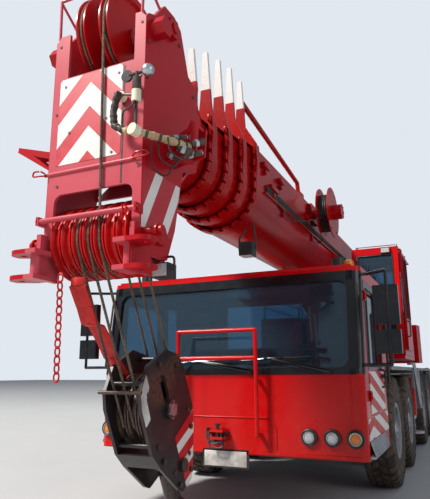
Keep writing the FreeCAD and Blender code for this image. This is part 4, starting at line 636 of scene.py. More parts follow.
class CRANE_OT_cab_sides(bpy.types.Operator):
    """Adds door glass, handles, steps, the striped panels and the mirror glass to the carrier cab's sides"""
    bl_idname = "crane.cab_sides"
    bl_label = "Carrier cab sides"

    def execute(self, context):
        for name, side in (("left", 1), ("right", -1)):
            body = "door_" + name
            bm = bmesh.new()
            corners = [(1.436 * side, behind(0.335), 1.475), (1.436 * side, behind(1.205), 1.475),
                       (1.436 * side, behind(1.205), 2.27), (1.436 * side, behind(0.375), 2.27)]
            plate(bm, corners, (0.006 * side, 0, 0))
            finish("door_glass_" + name, bm, FINISH["glass"], body)
            bm = bmesh.new()
            out = 1.474 * side
            tube(bm, [(out, behind(s), z) for s, z in ((0.345, 1.485), (1.195, 1.485), (1.195, 2.262), (0.385, 2.262),
                                                       (0.345, 1.485), (0.40, 1.485))], 0.011, 8, 0.03)
            block(bm, (min(out, out + 0.03 * side), behind(1.08), 1.36), (max(out, out + 0.03 * side), behind(1.22), 1.40))
            tube(bm, [(x * side, behind(1.10), z) for x, z in ((1.47, 1.26), (1.515, 1.27), (1.515, 1.44), (1.47, 1.45))],
                 0.012, 8, 0.03)
            finish("door_trim_" + name, bm, FINISH["black"], body)
            bm = bmesh.new()
            # Black frame about the glass. Columns: the four corners as station and z
            for strip in (((0.268, 1.445), (0.335, 1.445), (0.375, 2.27), (0.268, 2.27)),
                          ((1.205, 1.445), (1.272, 1.445), (1.272, 2.27), (1.205, 2.27)),
                          ((0.268, 2.27), (1.272, 2.27), (1.272, 2.333), (0.268, 2.333)),
                          ((0.335, 1.445), (1.205, 1.445), (1.205, 1.475), (0.335, 1.475))):
                plate(bm, [(1.4702 * side, behind(s), z) for s, z in strip], (0.003 * side, 0, 0))
            finish("door_frame_" + name, bm, FINISH["gloss_black"], body)
            bm = bmesh.new()
            low, high = sorted((1.4702 * side, 1.4745 * side))
            block(bm, (low, behind(0.29), 1.03), (high, behind(1.25), 1.43))
            finish("door_stripes_" + name, bm, FINISH["side_stripes"], body)

        steel, black, glass, paint = (bmesh.new() for _ in range(4))
        for side in BOTH:
            low, high = sorted((1.4702 * side, 1.4745 * side))
            block(paint, (low, behind(0.09), 0.80), (high, behind(1.40), 0.995))
            tube(black, [(x * side, behind(1.36), z) for x, z in ((1.47, 1.30), (1.52, 1.30), (1.52, 2.10), (1.47, 2.10))],
                 0.016, 10, 0.05)
            tube(black, [(1.42 * side, behind(0.012), 1.47), (1.44 * side, behind(-0.02), 1.50),
                         (1.44 * side, behind(0.09), 2.25), (1.42 * side, behind(0.15), 2.30)], 0.012, 10, 0.05)
            # Chequered step below the door, with a toe board of open mesh. Columns: front, back, low z
            for s0, s1, z in ((0.10, 1.00, 0.645),):
                a, b = sorted((1.30 * side, 1.515 * side))
                block(steel, (a, behind(s0), z), (b, behind(s1), z + 0.022))
                for n in range(9):
                    y = behind(s0 + 0.03 + n * (s1 - s0 - 0.06) / 8)
                    block(steel, (a + 0.01, y - 0.008, z + 0.022), (b - 0.01, y + 0.008, z + 0.030))
            # Open mesh below the stripes
            plate(steel, [(x * side, behind(s), z) for x, s, z in ((1.4715, 0.10, 0.79), (1.4715, 1.02, 0.79), (1.516, 1.02, 0.668),
                                                                   (1.516, 0.10, 0.668))], (0.004 * side, 0, 0))
            for n in range(5):
                x, z = 1.4765 + 0.0445 * n / 4, 0.79 - 0.122 * n / 4
                tube(steel, [(x * side, behind(0.10), z), (x * side, behind(1.02), z)], 0.006, 6)
            for n in range(12):
                y = behind(0.10 + 0.92 * n / 11)
                tube(steel, [(1.4765 * side, y, 0.79), (1.521 * side, y, 0.668)], 0.006, 6)
            for s in (0.12, 0.97):
                a, b = sorted((1.40 * side, 1.43 * side))
                block(steel, (a, behind(s) - 0.015, 0.645), (b, behind(s) + 0.015, 0.98))
            for z0, z1 in ((1.875, 2.215), (1.605, 1.795)):
                a, b = sorted((1.615 * side, 1.815 * side))
                block(glass, (a, behind(0.0605), z0), (b, behind(0.064), z1))
            # Side window trim behind the door
            out = 1.474 * side
            tube(black, [(out, behind(s), z) for s, z in ((1.375, 1.71), (1.715, 1.71), (1.715, 2.30), (1.375, 2.30),
                                                          (1.375, 1.71), (1.42, 1.71))], 0.010, 8)
        finish("cab_side_stripes", paint, FINISH["side_stripes"], "carrier")
        finish("grab_handles", black, FINISH["black"], "carrier")
        finish("cab_steps", steel, FINISH["zinc"], "carrier", easing=0.002)
        finish("mirror_glass", glass, FINISH["mirror"], "carrier")
        return {"FINISHED"}


class CRANE_OT_carrier_sides(bpy.types.Operator):
    """Adds ladders, marker lamps and the striped rear plates to the carrier"""
    bl_idname = "crane.carrier_sides"
    bl_label = "Carrier sides and rear"

    def execute(self, context):
        ladder, dark, amber = (bmesh.new() for _ in range(3))
        for side in BOTH:
            # Leaning ladders. Columns: top and foot as x, station, z; rung count
            for top, foot, rungs, half in (((1.505, 4.93, 1.58), (1.56, 4.93, 0.90), 4, 0.13),
                                           ((1.40, 10.43, 1.52), (1.48, 10.43, 0.60), 4, 0.18)):
                for rail in (-half, half):
                    ends = [Vector((x * side, behind(s + rail), z)) for x, s, z in (top, foot)]
                    tube(ladder, [ends[0] + Vector((-0.10 * side, 0, -0.02)), ends[0], ends[1]], 0.018, 8, 0.04)
                for n in range(rungs):
                    t = (n + 0.6) / rungs
                    x, z = (a + (b - a) * t for a, b in ((top[0], foot[0]), (top[2], foot[2])))
                    rod(ladder, (x * side, behind(top[1] - half), z), (x * side, behind(top[1] + half), z), 0.014, 8)
            for s in (2.1, 3.2, 5.0, 6.5, 7.8, 9.5):
                rod(amber, (1.478 * side, behind(s), 1.475), (1.492 * side, behind(s), 1.475), 0.022, 12)
            low, high = sorted((0.50 * side, 1.46 * side))
            block(dark, (low, behind(10.60), 1.40), (high, behind(10.615), 1.495))
        finish("side_ladders", ladder, FINISH["zinc"], "carrier")
        finish("rear_striped_plates", dark, FINISH["rear_stripes"], "carrier")
        finish("marker_lenses", amber, FINISH["lens_amber"], "carrier")
        return {"FINISHED"}


def strand_rope(bm, start, end, radius, lay):
    """A wire rope of six strands, laid round each other from start to end."""
    start, end = Vector(start), Vector(end)
    along = (end - start)
    turn = Vector((0, 0, 1)).rotation_difference(along)
    steps = max(4, int(along.length / lay * 8))
    strand = radius * 0.36
    for k in range(6):
        last = None
        for n in range(steps + 1):
            angle = math.tau * (k / 6 + n / 8)
            off = Vector((math.cos(angle), math.sin(angle), 0)) * (radius - strand)
            place = start + along * n / steps + turn @ off
            verts = bmesh.ops.create_circle(bm, cap_ends=n in (0, steps), segments=6, radius=strand,
                                            matrix=Matrix.LocRotScale(place, turn, None))["verts"]
            ring = list({e for v in verts for e in v.link_edges})
            if last:
                bmesh.ops.bridge_loops(bm, edges=last + ring)
            last = ring
    rod(bm, start, end, radius * 0.55, 8)


SHAFT = (0.0, behind(-1.99), 2.39)
FALL = 1.40


def hang():
    """Turns places along the tied-back falls, with z running up from the head's shaft, into places on the crane."""
    return Matrix.Translation(SHAFT) @ Matrix.Rotation(math.radians(27), 4, "X")


class CRANE_OT_head_fittings(bpy.types.Operator):
    """Adds the chevron panel, cheek stripes, bolts, wind gauge, tie strap and switch chain to the boom head"""
    bl_idname = "crane.head_fittings"
    bl_label = "Boom head fittings"

    def execute(self, context):
        bm = bmesh.new()
        block(bm, (-0.355, behind(-2.2425), 2.965), (0.235, behind(-2.2403), 3.69))
        finish("chevron_panel", bm, FINISH["chevrons"], "boom_tip")

        bm = bmesh.new()
        for side in BOTH:
            plate(bm, [(0.4253 * side, behind(s), z) for s, z in ((-2.235, 2.40), (-1.80, 2.40), (-1.77, 2.48), (-1.69, 2.85),
                                                                  (-2.235, 2.85))], (0.002 * side, 0, 0))
        finish("cheek_stripes", bm, FINISH["cheek_stripes"], "boom_tip")

        # A near-black strip, painted shade in the groove between the chevron panel and the right flange
        bm = bmesh.new()
        block(bm, (0.243, behind(-2.2418), 2.74), (0.256, behind(-2.2403), 3.67))
        finish("painted_gap_shade", bm, FINISH["seal"], "boom_tip")

        bm = bmesh.new()
        # Bolts on the front plate and on the cheeks
        for x, z in ((-0.30, 3.62), (0.20, 3.62), (-0.24, 3.22), (0.10, 3.27), (-0.33, 2.80), (0.16, 2.99), (-0.38, 3.4), (-0.38, 4.0),
                     (0.39, 4.0), (0.39, 3.55), (0.39, 2.85)):
            rod(bm, (x, behind(-2.2401), z), (x, behind(-2.2465), z), 0.011, 6)
        for side in BOTH:
            for s, z in ((-2.20, 3.55), (-2.20, 3.85), (-2.20, 2.95), (-1.46, 3.15), (-1.46, 3.75), (-1.72, 3.2), (-1.72, 4.1)):
                rod(bm, (0.4251 * side, behind(s), z), (0.436 * side, behind(s), z), 0.014, 6)
        finish("head_bolts", bm, FINISH["chassis"], "boom_tip")

        bm = bmesh.new()
        for x0, x1 in ((-0.384, -0.215), (0.098, 0.384)):
            rod(bm, (x0, behind(-1.88), 4.15), (x1, behind(-1.88), 4.15), 0.088, 32)
            rod(bm, (x0 + 0.02, behind(-1.88), 4.15), (x0 + 0.045, behind(-1.88), 4.15), 0.10, 32)
        finish("top_shaft_sleeves", bm, FINISH["head_red"], "boom_tip", easing=0.003)

        # Shackles at the ends of the pin across the face
        bm = bmesh.new()
        for x, way in ((-0.44, -1), (0.355, 1)):
            for tilt in (-0.02, 0.02):
                tube(bm, [(x, behind(-2.262), 2.905 + tilt * 0.5), (x + 0.03 * way, behind(-2.275), 2.915 + tilt),
                          (x + 0.11 * way, behind(-2.262), 2.925 + tilt), (x + 0.13 * way, behind(-2.25), 2.92)], 0.007, 6, 0.02)
        for x in (0.33, 0.36):
            tube(bm, [(x, behind(-2.322), 2.53), (x + 0.004, behind(-2.330), 2.47), (x + 0.012, behind(-2.326), 2.41)], 0.006, 6)
        finish("head_shackles", bm, FINISH["sheave_red"], "boom_tip")

        # Wind gauge: a black arm that turns down across the face, and a taped beige one that leads to the side
        arm = [(0.258, -2.245, 3.39), (0.258, -2.33, 3.385), (0.228, -2.33, 3.25), (0.24, -2.33, 3.14), (0.33, -2.33, 3.085),
               (0.43, -2.33, 3.06), (0.60, -2.15, 3.03), (0.64, -1.925, 3.06)]
        arm = [Vector((x, behind(s), z)) for x, s, z in arm]
        black, beige, pale, dark = (bmesh.new() for _ in range(4))
        for n, (a, b) in enumerate(zip(arm, arm[1:])):
            if n < 4:
                rod(black, a, b, 0.024, 14)
                ball(black, b, 0.0245, 14)
                for k in (0.3, 0.7):
                    rod(beige if n == 0 else dark, a.lerp(b, k - 0.08), a.lerp(b, k + 0.08), 0.0275, 14)
            else:
                rod(beige, a, b, 0.026, 14)
                ball(beige, b, 0.027, 14)
                count = max(2, int((b - a).length / 0.045))
                for k in range(count):
                    rod(dark if k % 2 else beige, a.lerp(b, (k + 0.2) / count), a.lerp(b, (k + 0.6) / count), 0.0305, 14)
        rod(pale, arm[5] + Vector((0, 0.012, 0)), arm[5] + Vector((-0.012, -0.046, 0.006)), 0.043, 20)
        rod(pale, arm[0] + Vector((0.0, -0.012, 0)), arm[0] + Vector((0, -0.052, 0)), 0.036, 18)
        rod(black, (0.42, behind(-2.33), 3.07), (0.42, behind(-2.33), 3.31), 0.012, 10)
        rod(pale, (0.42, behind(-2.33), 3.288), (0.42, behind(-2.33), 3.378), 0.034, 20)
        rod(dark, (0.42, behind(-2.33), 3.376), (0.42, behind(-2.33), 3.475), 0.035, 20, 0.0305)
        rod(dark, (0.42, behind(-2.33), 3.474), (0.42, behind(-2.33), 3.523), 0.013, 12)
        rod(black, (0.29, behind(-2.31), 3.385), (0.405, behind(-2.33), 3.345), 0.009, 8)
        tube(black, [(0.42, behind(-2.345), 3.29), (0.40, behind(-2.36), 3.24), (0.33, behind(-2.36), 3.22),
                     (0.32, behind(-2.355), 3.12), (0.36, behind(-2.35), 3.09)], 0.006, 6, 0.03)
        rod(dark, (0.35, behind(-2.33), 3.514), (0.49, behind(-2.33), 3.514), 0.008, 8)
        steel = bmesh.new()
        ball(steel, (0.51, behind(-2.33), 3.512), 0.0475, 18)
        # Cable couplings by the slotted bracket. Columns: start, end, radius
        for a, b, r in (((0.60, -2.05, 3.02), (0.68, -1.97, 2.99), 0.030), ((0.62, -1.99, 2.97), (0.74, -1.93, 3.00), 0.022),
                        ((0.56, -2.10, 3.08), (0.66, -2.02, 3.10), 0.018), ((0.66, -1.95, 3.07), (0.72, -1.86, 3.12), 0.026),
                        ((0.52, -2.06, 2.98), (0.60, -2.02, 2.93), 0.016)):
            a, b = (Vector((x, behind(s), z)) for x, s, z in (a, b))
            rod(dark, a, b, r, 12)
            rod(steel, a.lerp(b, 0.25), a.lerp(b, 0.5), r + 0.005, 6)
            rod(steel, a.lerp(b, 0.85), a.lerp(b, 1.05), r * 0.7, 10)
        for x0, drop in ((0.46, 0.22), (0.52, 0.16), (0.60, 0.12)):
            tube(black, [(x0, behind(-2.19), 3.04), (x0 + 0.02, behind(-2.20), 3.04 - drop), (x0 + 0.08, behind(-2.08), 3.0 - drop),
                         (x0 + 0.11, behind(-2.02), 2.98)], 0.006, 6, 0.06)
        finish("arm_couplings", steel, FINISH["steel"], "boom_tip")
        finish("wind_gauge", black, FINISH["black"], "boom_tip")
        finish("wind_gauge_taped_arm", beige, FINISH["tape"], "boom_tip")
        finish("wind_gauge_body", pale, FINISH["cream"], "boom_tip")
        finish("wind_gauge_bands", dark, FINISH["rubber"], "boom_tip")

        # Red tie strap that hangs from the head's foot: broad folded webbing
        bm = bmesh.new()
        path = [(-2.154, 2.105), (-2.154, 2.042), (-2.06, 1.90), (-1.995, 1.78), (-1.911, 1.772), (-1.80, 1.66), (-1.70, 1.54),
                (-1.562, 1.419)]
        for offset, turn, wide in ((-0.03, 0.0, 0.045), (0.025, 0.35, 0.04)):
            for n, ((s0, z0), (s1, z1)) in enumerate(zip(path, path[1:])):
                a = Vector((-0.15 + offset, behind(s0), z0))
                b = Vector((-0.15 + offset, behind(s1), z1))
                swing = turn + 0.5 * math.sin(2.1 * n + offset * 40)
                across = Vector((math.cos(swing), math.sin(swing) * 0.6, 0)) * wide
                thick = (b - a).cross(across).normalized() * 0.008
                corners = [bm.verts.new(p + across * u + thick * v) for p in (a, b) for u in BOTH for v in BOTH]
                bmesh.ops.convex_hull(bm, input=corners)
        finish("tie_strap", bm, FINISH["strap"], "boom_tip", easing=0.002)

        # Switch chain. Columns: first and last place as station and z
        bm = bmesh.new()
        link = bmesh.new()
        turned(link, [(0.0, 0.011), (0.0055, 0.0165), (0.0, 0.022), (-0.0055, 0.0165), (0.0, 0.011)], (0, 0, 0), (0, 0, 1), 10)
        bmesh.ops.scale(link, verts=link.verts, vec=(1.4, 1.9, 1.5))
        mesh = bpy.data.meshes.new("link")
        link.to_mesh(mesh)
        link.free()
        start, end = Vector((-0.19, behind(-2.30), 2.08)), Vector((-0.19, behind(-2.28), 1.40))
        for n in range(13):
            old = set(bm.verts)
            bm.from_mesh(mesh)
            turn = Matrix.Rotation(math.pi / 2 * (n % 2), 4, "Z") @ Matrix.Rotation(math.pi / 2, 4, "X")
            bmesh.ops.transform(bm, matrix=Matrix.Translation(start.lerp(end, n / 12)) @ turn,
                                verts=[v for v in bm.verts if v not in old])
        bpy.data.meshes.remove(mesh)
        finish("switch_chain", bm, FINISH["strap"], "boom_tip")

        # Work lamp below the head's left cheek
        bm, clear = bmesh.new(), bmesh.new()
        block(bm, (0.32, behind(-1.92), 2.10), (0.46, behind(-1.79), 2.21))
        tube(bm, [(0.30, behind(-1.86), 2.15), (0.30, behind(-1.86), 2.26), (0.48, behind(-1.86), 2.26),
                  (0.48, behind(-1.86), 2.15)], 0.010, 8, 0.03)
        block(clear, (0.33, behind(-1.926), 2.11), (0.45, behind(-1.919), 2.20))
        finish("head_work_lamp", bm, FINISH["black"], "boom_tip", easing=0.006)
        finish("head_work_lamp_glass", clear, FINISH["lens_clear"], "boom_tip")
        return {"FINISHED"}


class CRANE_OT_ropes(bpy.types.Operator):
    """Lays the stranded hoist ropes between the head and the hook block"""
    bl_idname = "crane.ropes"
    bl_label = "Hoist ropes"

    def execute(self, context):
        size = context.scene.crane_sizes
        radius, lay = size.rope_radius, size.rope_lay
        bm = bmesh.new()
        for x in (-0.096, 0, 0.096):
            for side in BOTH:
                strand_rope(bm, hang() @ Vector((x, 0.2664 * side, 0)), hang() @ Vector((x, 0.2664 * side, -FALL)), radius, lay)
        finish("stranded_falls", bm, FINISH["rope"], "falls", ["hoist_ropes"], least=60)
        bm = bmesh.new()
        strand_rope(bm, (0.05, behind(-2.261), 4.15), (0.096, behind(-2.256), 2.39), radius, lay)
        finish("lead_rope", bm, FINISH["rope"], "boom_tip", least=60)
        # Rope laid on the sheaves. Columns: x, station, z, radius of the rope's middle
        bm = bmesh.new()
        for x, s, z, middle in ((-0.096, -1.99, 2.39, 0.2664), (0, -1.99, 2.39, 0.2664), (0.096, -1.99, 2.39, 0.2664),
                                (0.05, -1.88, 4.15, 0.381), (-0.17, -1.88, 4.15, 0.381)):
            ring = [(math.cos(math.tau * n / 8) * radius, middle + math.sin(math.tau * n / 8) * radius) for n in range(9)]
            turned(bm, ring, (x, behind(s), z), (1, 0, 0), 56)
        finish("rope_on_sheaves", bm, FINISH["rope"], "boom_tip")
        return {"FINISHED"}


class CRANE_OT_hook_block(bpy.types.Operator):
    """Dresses the hook block with its striped corner, blank white patch, bolts and hook latch"""
    bl_idname = "crane.hook_block"
    bl_label = "Hook block"

    def execute(self, context):
        zb = -FALL
        black, stripes, white, steel = (bmesh.new() for _ in range(4))
        for side in BOTH:
            lower = [(0.1705 * side, y, zb + z) for y, z in ((-0.02, -0.24), (0.345, -0.20), (0.298, -0.33), (0.128, -0.64),
                                                             (0.078, -0.685), (-0.02, -0.685))]
            plate(stripes, lower, (0.003 * side, 0, 0))
            edge = [(0.1705 * side, y, zb + z) for y, z in ((-0.355, 0.06), (-0.355, 0.20), (-0.318, 0.315), (-0.20, 0.405),
                                                            (-0.20, 0.30), (-0.27, 0.24), (-0.28, 0.08))]
            plate(white, edge, (0.003 * side, 0, 0))
            rod(steel, (0.17 * side, 0, zb), (0.212 * side, 0, zb), 0.050, 24)
            for n in range(6):
                turn = math.tau * n / 6
                rod(steel, (0.19 * side, math.cos(turn) * 0.064, zb + math.sin(turn) * 0.064),
                    (0.2095 * side, math.cos(turn) * 0.064, zb + math.sin(turn) * 0.064), 0.009, 6)
            for y, z in ((-0.27, -0.16), (0.27, -0.16), (-0.24, 0.26), (0.24, 0.26), (-0.13, -0.48), (0.13, -0.48)):
                rod(black, (0.17 * side, y, zb + z), (0.183 * side, y, zb + z), 0.020, 6)
        # Keeper bar over the falls' upper edge
        tube(black, [(-0.19, -0.335, zb + 0.33), (0.19, -0.335, zb + 0.33)], 0.014, 10)
        for name, bm, material, slot in (("block_bolts", black, "block", "block_black"),
                                         ("block_stripes", stripes, "block_stripes", "crane_red"),
                                         ("block_white_patch", white, "worn_white", None),
                                         ("block_caps", steel, "steel", "rod_chrome")):
            bmesh.ops.transform(bm, matrix=hang(), verts=bm.verts)
            finish(name, bm, FINISH[material], "falls")
        bm = bmesh.new()
        plate(bm, [(0.064, -0.014, zb - 0.835), (0.018, -0.014, zb - 0.80), (0.10, -0.014, zb - 0.985), (0.118, -0.014, zb - 0.975)],
              (0, 0.028, 0))
        for n in range(8):
            turn = math.tau * n / 8
            rod(bm, (math.cos(turn) * 0.052, math.sin(turn) * 0.052, zb - 0.745),
                (math.cos(turn) * 0.052, math.sin(turn) * 0.052, zb - 0.757), 0.008, 6)
        bmesh.ops.transform(bm, matrix=hang(), verts=bm.verts)
        finish("hook_latch", bm, FINISH["steel"], "hook")
        return {"FINISHED"}


class CRANE_OT_boom_fittings(bpy.types.Operator):
    """Adds the boom's hose runs, brackets, work lamp, cables and bolts"""
    bl_idname = "crane.boom_fittings"
    bl_label = "Boom fittings"

    def execute(self, context):
        black, red, clear, steel = (bmesh.new() for _ in range(4))
        # Pad blocks round the front of each collar, and small blocks on its sides
        for n in range(5):
            pads = bmesh.new()
            radius, s = 0.462 - 0.037 * n, -0.05 - 0.30 * n
            for k in range(13):
                turn = Matrix.Rotation(math.radians(15 * (k - 6)), 3, "Y")
                for v in block(pads, (-0.040, -0.055, -radius - 0.010), (0.040, 0.001, -radius + 0.018)):
                    v.co = turn @ v.co + Vector((0, behind(s), 3.4))
            for side in BOTH:
                for z in (3.52, 3.66, 3.80):
                    x0, x1 = sorted((side * (radius - 0.018), side * (radius + 0.008)))
                    block(pads, (x0, behind(s) - 0.045, z - 0.035), (x1, behind(s) + 0.001, z + 0.035))
            body = "boom_section_%d" % n if n else "boom_base"
            finish("collar_pads_%d" % n, pads, FINISH["boom_red"], body, easing=0.004)
        # Work lamp below the boom's front
        block(black, (0.33, behind(-0.24), 2.60), (0.47, behind(-0.10), 2.74))
        tube(black, [(0.31, behind(-0.17), 2.66), (0.31, behind(-0.17), 2.80), (0.36, behind(-0.10), 2.90)], 0.011, 8, 0.03)
        tube(black, [(0.49, behind(-0.17), 2.66), (0.49, behind(-0.17), 2.80), (0.44, behind(-0.10), 2.95)], 0.011, 8, 0.03)
        block(clear, (0.345, behind(-0.23), 2.594), (0.455, behind(-0.11), 2.601))
        # Brackets on the boom's left side. Columns: station, z, length
        for s, z, long in ((0.16, 3.735, 0.20), (0.40, 3.545, 0.26), (0.75, 3.74, 0.16), (2.0, 3.60, 0.14)):
            block(red, (0.449, behind(s), z - 0.03), (0.50, behind(s + long), z + 0.02))
            rod(red, (0.45, behind(s + long / 2), z - 0.08), (0.49, behind(s + long / 2), z - 0.08), 0.03, 14)
        # Hoses and cables along the left side, and two cables that run from the reel down to the boom's side
        for z, radius in ((3.452, 0.013), (3.485, 0.013), (3.512, 0.009)):
            tube(black, [(0.464, behind(0.3), z), (0.464, behind(7.7), z), (0.46, behind(8.0), z - 0.05)], radius, 8, 0.1)
        tube(black, [(0.68, behind(2.14), 3.60), (0.60, behind(1.7), 3.44), (0.48, behind(1.2), 3.32), (0.462, behind(0.5), 3.46)],
             0.009, 8, 0.2)
        tube(black, [(0.66, behind(2.62), 3.60), (0.56, behind(2.6), 3.40), (0.47, behind(2.7), 3.35), (0.462, behind(2.9), 3.45)],
             0.009, 8, 0.1)
        # Cable wound on the reel, with a turn for each winding
        turned(black, [(0.617, 0.262)] + [p for n in range(5) for p in ((0.620 + 0.027 * n, 0.268), (0.627 + 0.027 * n, 0.281),
                                                                        (0.640 + 0.027 * n, 0.281), (0.644 + 0.027 * n, 0.268))]
               + [(0.757, 0.262)], (0, behind(2.4), 3.73), (1, 0, 0), 48)
        for n in range(6):
            turn = math.tau * n / 6
            rod(steel, (0.905, behind(2.4) + math.cos(turn) * 0.08, 3.73 + math.sin(turn) * 0.08),
                (0.921, behind(2.4) + math.cos(turn) * 0.08, 3.73 + math.sin(turn) * 0.08), 0.009, 6)
        finish("boom_red_brackets", red, FINISH["boom_red"], "boom_base", easing=0.003)
        finish("boom_black_fittings", black, FINISH["black"], "boom_base")
        finish("work_lamp_glass", clear, FINISH["lens_clear"], "boom_base")
        finish("reel_bolts", steel, FINISH["steel"], "boom_base")
        return {"FINISHED"}


class CRANE_OT_superstructure_trim(bpy.types.Operator):
    """Adds the housing's grilles and doors, counterweight joints, rails, exhaust and rope drum windings"""
    bl_idname = "crane.superstructure_trim"
    bl_label = "Superstructure trim"

    def execute(self, context):
        red, black, steel, stripes = (bmesh.new() for _ in range(4))
        for n in range(3):
            s = 5.32 + 1.06 * n
            block(steel, (-1.458, behind(s + 0.42), 1.80), (-1.4445, behind(s + 0.56), 1.83))
            for z in (1.86, 2.30):
                block(black, (-1.456, behind(s + 0.02), z), (-1.4445, behind(s + 0.07), z + 0.09))
        for n in range(12):
            block(black, (-1.30, behind(5.45 + 0.11 * n), 2.5), (-0.75, behind(5.50 + 0.11 * n), 2.512))
        turned(steel, [(0.0, 0.058), (0.0, 0.074), (0.03, 0.076), (0.05, 0.066), (0.05, 0.058), (0.0, 0.058)],
               (-1.15, behind(7.9), 2.80), (0, 0, 1), 24)
        # Hand rails
        for x in (-1.40, -0.66):
            tube(steel, [(x, behind(5.4), 2.5), (x, behind(5.4), 3.0), (x, behind(8.3), 3.0), (x, behind(8.3), 2.5)], 0.018, 10, 0.08)
            tube(steel, [(x, behind(5.4), 2.76), (x, behind(8.3), 2.76)], 0.013, 8)
        # Counterweight slabs: joints, lugs and striped corners
        for z in (1.87, 2.10, 2.33):
            block(black, (-1.353, behind(9.29), z - 0.006), (1.353, behind(9.31), z + 0.006))
            block(black, (-1.152, behind(9.757), z - 0.006), (1.152, behind(9.763), z + 0.006))
        for side in BOTH:
            tube(red, [(0.85 * side, behind(9.25), 2.555), (0.85 * side, behind(9.25), 2.66), (0.85 * side, behind(9.42), 2.66),
                       (0.85 * side, behind(9.42), 2.555)], 0.025, 10, 0.05)
            low, high = sorted((0.62 * side, 1.12 * side))
            block(stripes, (low, behind(9.761), 1.72), (high, behind(9.766), 2.46))
        # Winch windings
        ropes = bmesh.new()
        turned(ropes, [(-0.395, 0.205)] + [p for n in range(30) for p in ((-0.39 + 0.026 * n + 0.002, 0.212), (-0.39 + 0.026 * n + 0.008, 0.222),
                                                                       (-0.39 + 0.026 * n + 0.018, 0.222), (-0.39 + 0.026 * n + 0.024, 0.212))]
               + [(0.395, 0.205)], (0, behind(7.95), 2.23), (1, 0, 0), 40)
        finish("drum_windings", ropes, FINISH["rope"], "hoist_winch")
        finish("counterweight_lugs", red, FINISH["body_red"], "superstructure")
        finish("housing_grilles", black, FINISH["black"], "superstructure")
        finish("hand_rails", steel, FINISH["zinc"], "superstructure")
        finish("counterweight_stripes", stripes, FINISH["rear_stripes"], "superstructure")
        return {"FINISHED"}


class CRANE_OT_crane_cab_trim(bpy.types.Operator):
    """Adds the crane cab's roof guard, seals, lamp, wiper, handles and door glass"""
    bl_idname = "crane.crane_cab_trim"
    bl_label = "Crane cab trim"

    def execute(self, context):
        rail, black, clear = (bmesh.new() for _ in range(3))
        for x in (0.70, 1.40):
            tube(rail, [(x, behind(s), z) for s, z in ((4.60, 3.61), (4.60, 3.66), (6.0, 3.66), (6.0, 3.61))], 0.016, 8, 0.03)
        for n in range(9):
            s = 4.62 + 0.168 * n
            rod(rail, (0.70, behind(s), 3.66), (1.40, behind(s), 3.66), 0.010, 6)
        finish("crane_cab_roof_guard", rail, FINISH["zinc"], "superstructure")
        lean = 0.16 / 1.215

        def front(x, z, out=0.004):
            if z > 2.405:
                return Vector((x, behind(4.4) + (z - 2.405) * lean - out, z))
            return Vector((x, behind(4.4) + (2.405 - z) * 0.12 / 0.7 - out, z))
        tube(black, [front(x, z) for x, z in ((0.72, 1.98), (1.33, 1.98), (1.33, 2.405), (1.33, 3.47), (0.72, 3.47), (0.72, 2.405), (0.72, 1.98),
                                              (0.80, 1.98))], 0.014, 8)
        tube(black, [front(0.72, 2.405), front(1.33, 2.405)], 0.014, 8)
        rod(black, front(1.0, 2.44, 0.0), front(1.0, 2.44, 0.04), 0.018, 10)
        tube(black, [front(1.0, 2.44, 0.034), front(0.9, 2.75, 0.034), front(0.9, 3.0, 0.022)], 0.008, 8)
        tube(black, [front(0.9, 2.7, 0.02), front(0.9, 3.3, 0.02)], 0.008, 8)
        out = 1.4305
        tube(black, [(out, behind(5.52), 2.61), (out, behind(5.99), 2.61), (out, behind(5.99), 3.46), (out, behind(5.52), 3.46), (out, behind(5.52), 2.61),
                     (out, behind(5.6), 2.61)], 0.006, 8)
        block(black, (1.14, behind(4.50), 3.50), (1.30, behind(4.60), 3.60))
        block(clear, (1.15, behind(4.492), 3.51), (1.29, behind(4.50), 3.59))
        tube(black, [(1.40, behind(4.52), 2.30), (1.47, behind(4.50), 2.32), (1.47, behind(4.48), 3.0), (1.42, behind(4.56), 3.05)], 0.013, 8, 0.05)
        finish("crane_cab_black_trim", black, FINISH["black"], "superstructure")
        finish("crane_cab_lamp_glass", clear, FINISH["lens_clear"], "superstructure")
        bm = bmesh.new()
        block(bm, (1.452, behind(4.705), 2.345), (1.458, behind(5.375), 3.465))
        finish("crane_cab_door_glass", bm, FINISH["glass"], "crane_cab_door")
        bm = bmesh.new()
        out = 1.4795
        tube(bm, [(out, behind(4.71), 2.35), (out, behind(5.37), 2.35), (out, behind(5.37), 3.46), (out, behind(4.71), 3.46), (out, behind(4.71), 2.35),
                  (out, behind(4.8), 2.35)], 0.010, 8)
        tube(bm, [(1.476, behind(4.70), 2.02), (1.52, behind(4.70), 2.03), (1.52, behind(4.70), 2.28), (1.476, behind(4.70), 2.29)], 0.011, 8, 0.03)
        finish("crane_cab_door_trim", bm, FINISH["black"], "crane_cab_door")
        return {"FINISHED"}


class CRANE_OT_outrigger_trim(bpy.types.Operator):
    """Adds a ring of bolts to each outrigger beam, about its leg"""
    bl_idname = "crane.outrigger_trim"
    bl_label = "Outrigger trim"

    def execute(self, context):
        for name, station, side, place in (("fl", 5.35, 1, 0), ("fr", 5.35, -1, 1), ("rl", 10.05, 1, 0), ("rr", 10.05, -1, 1)):
            start = station - 0.278 + 0.024 + 0.006 + 0.266 * place
            bm = bmesh.new()
            middle = behind(start + 0.115)
            x = 1.372 * side
            for n in range(8):
                angle = math.tau * n / 8
                p = Vector((x + math.cos(angle) * 0.078, middle + math.sin(angle) * 0.078, 1.33))
                rod(bm, p, p + Vector((0, 0, 0.012)), 0.009, 6)
            finish("leg_bolts_" + name, bm, FINISH["zinc"], "outrigger_beam_" + name)
        return {"FINISHED"}


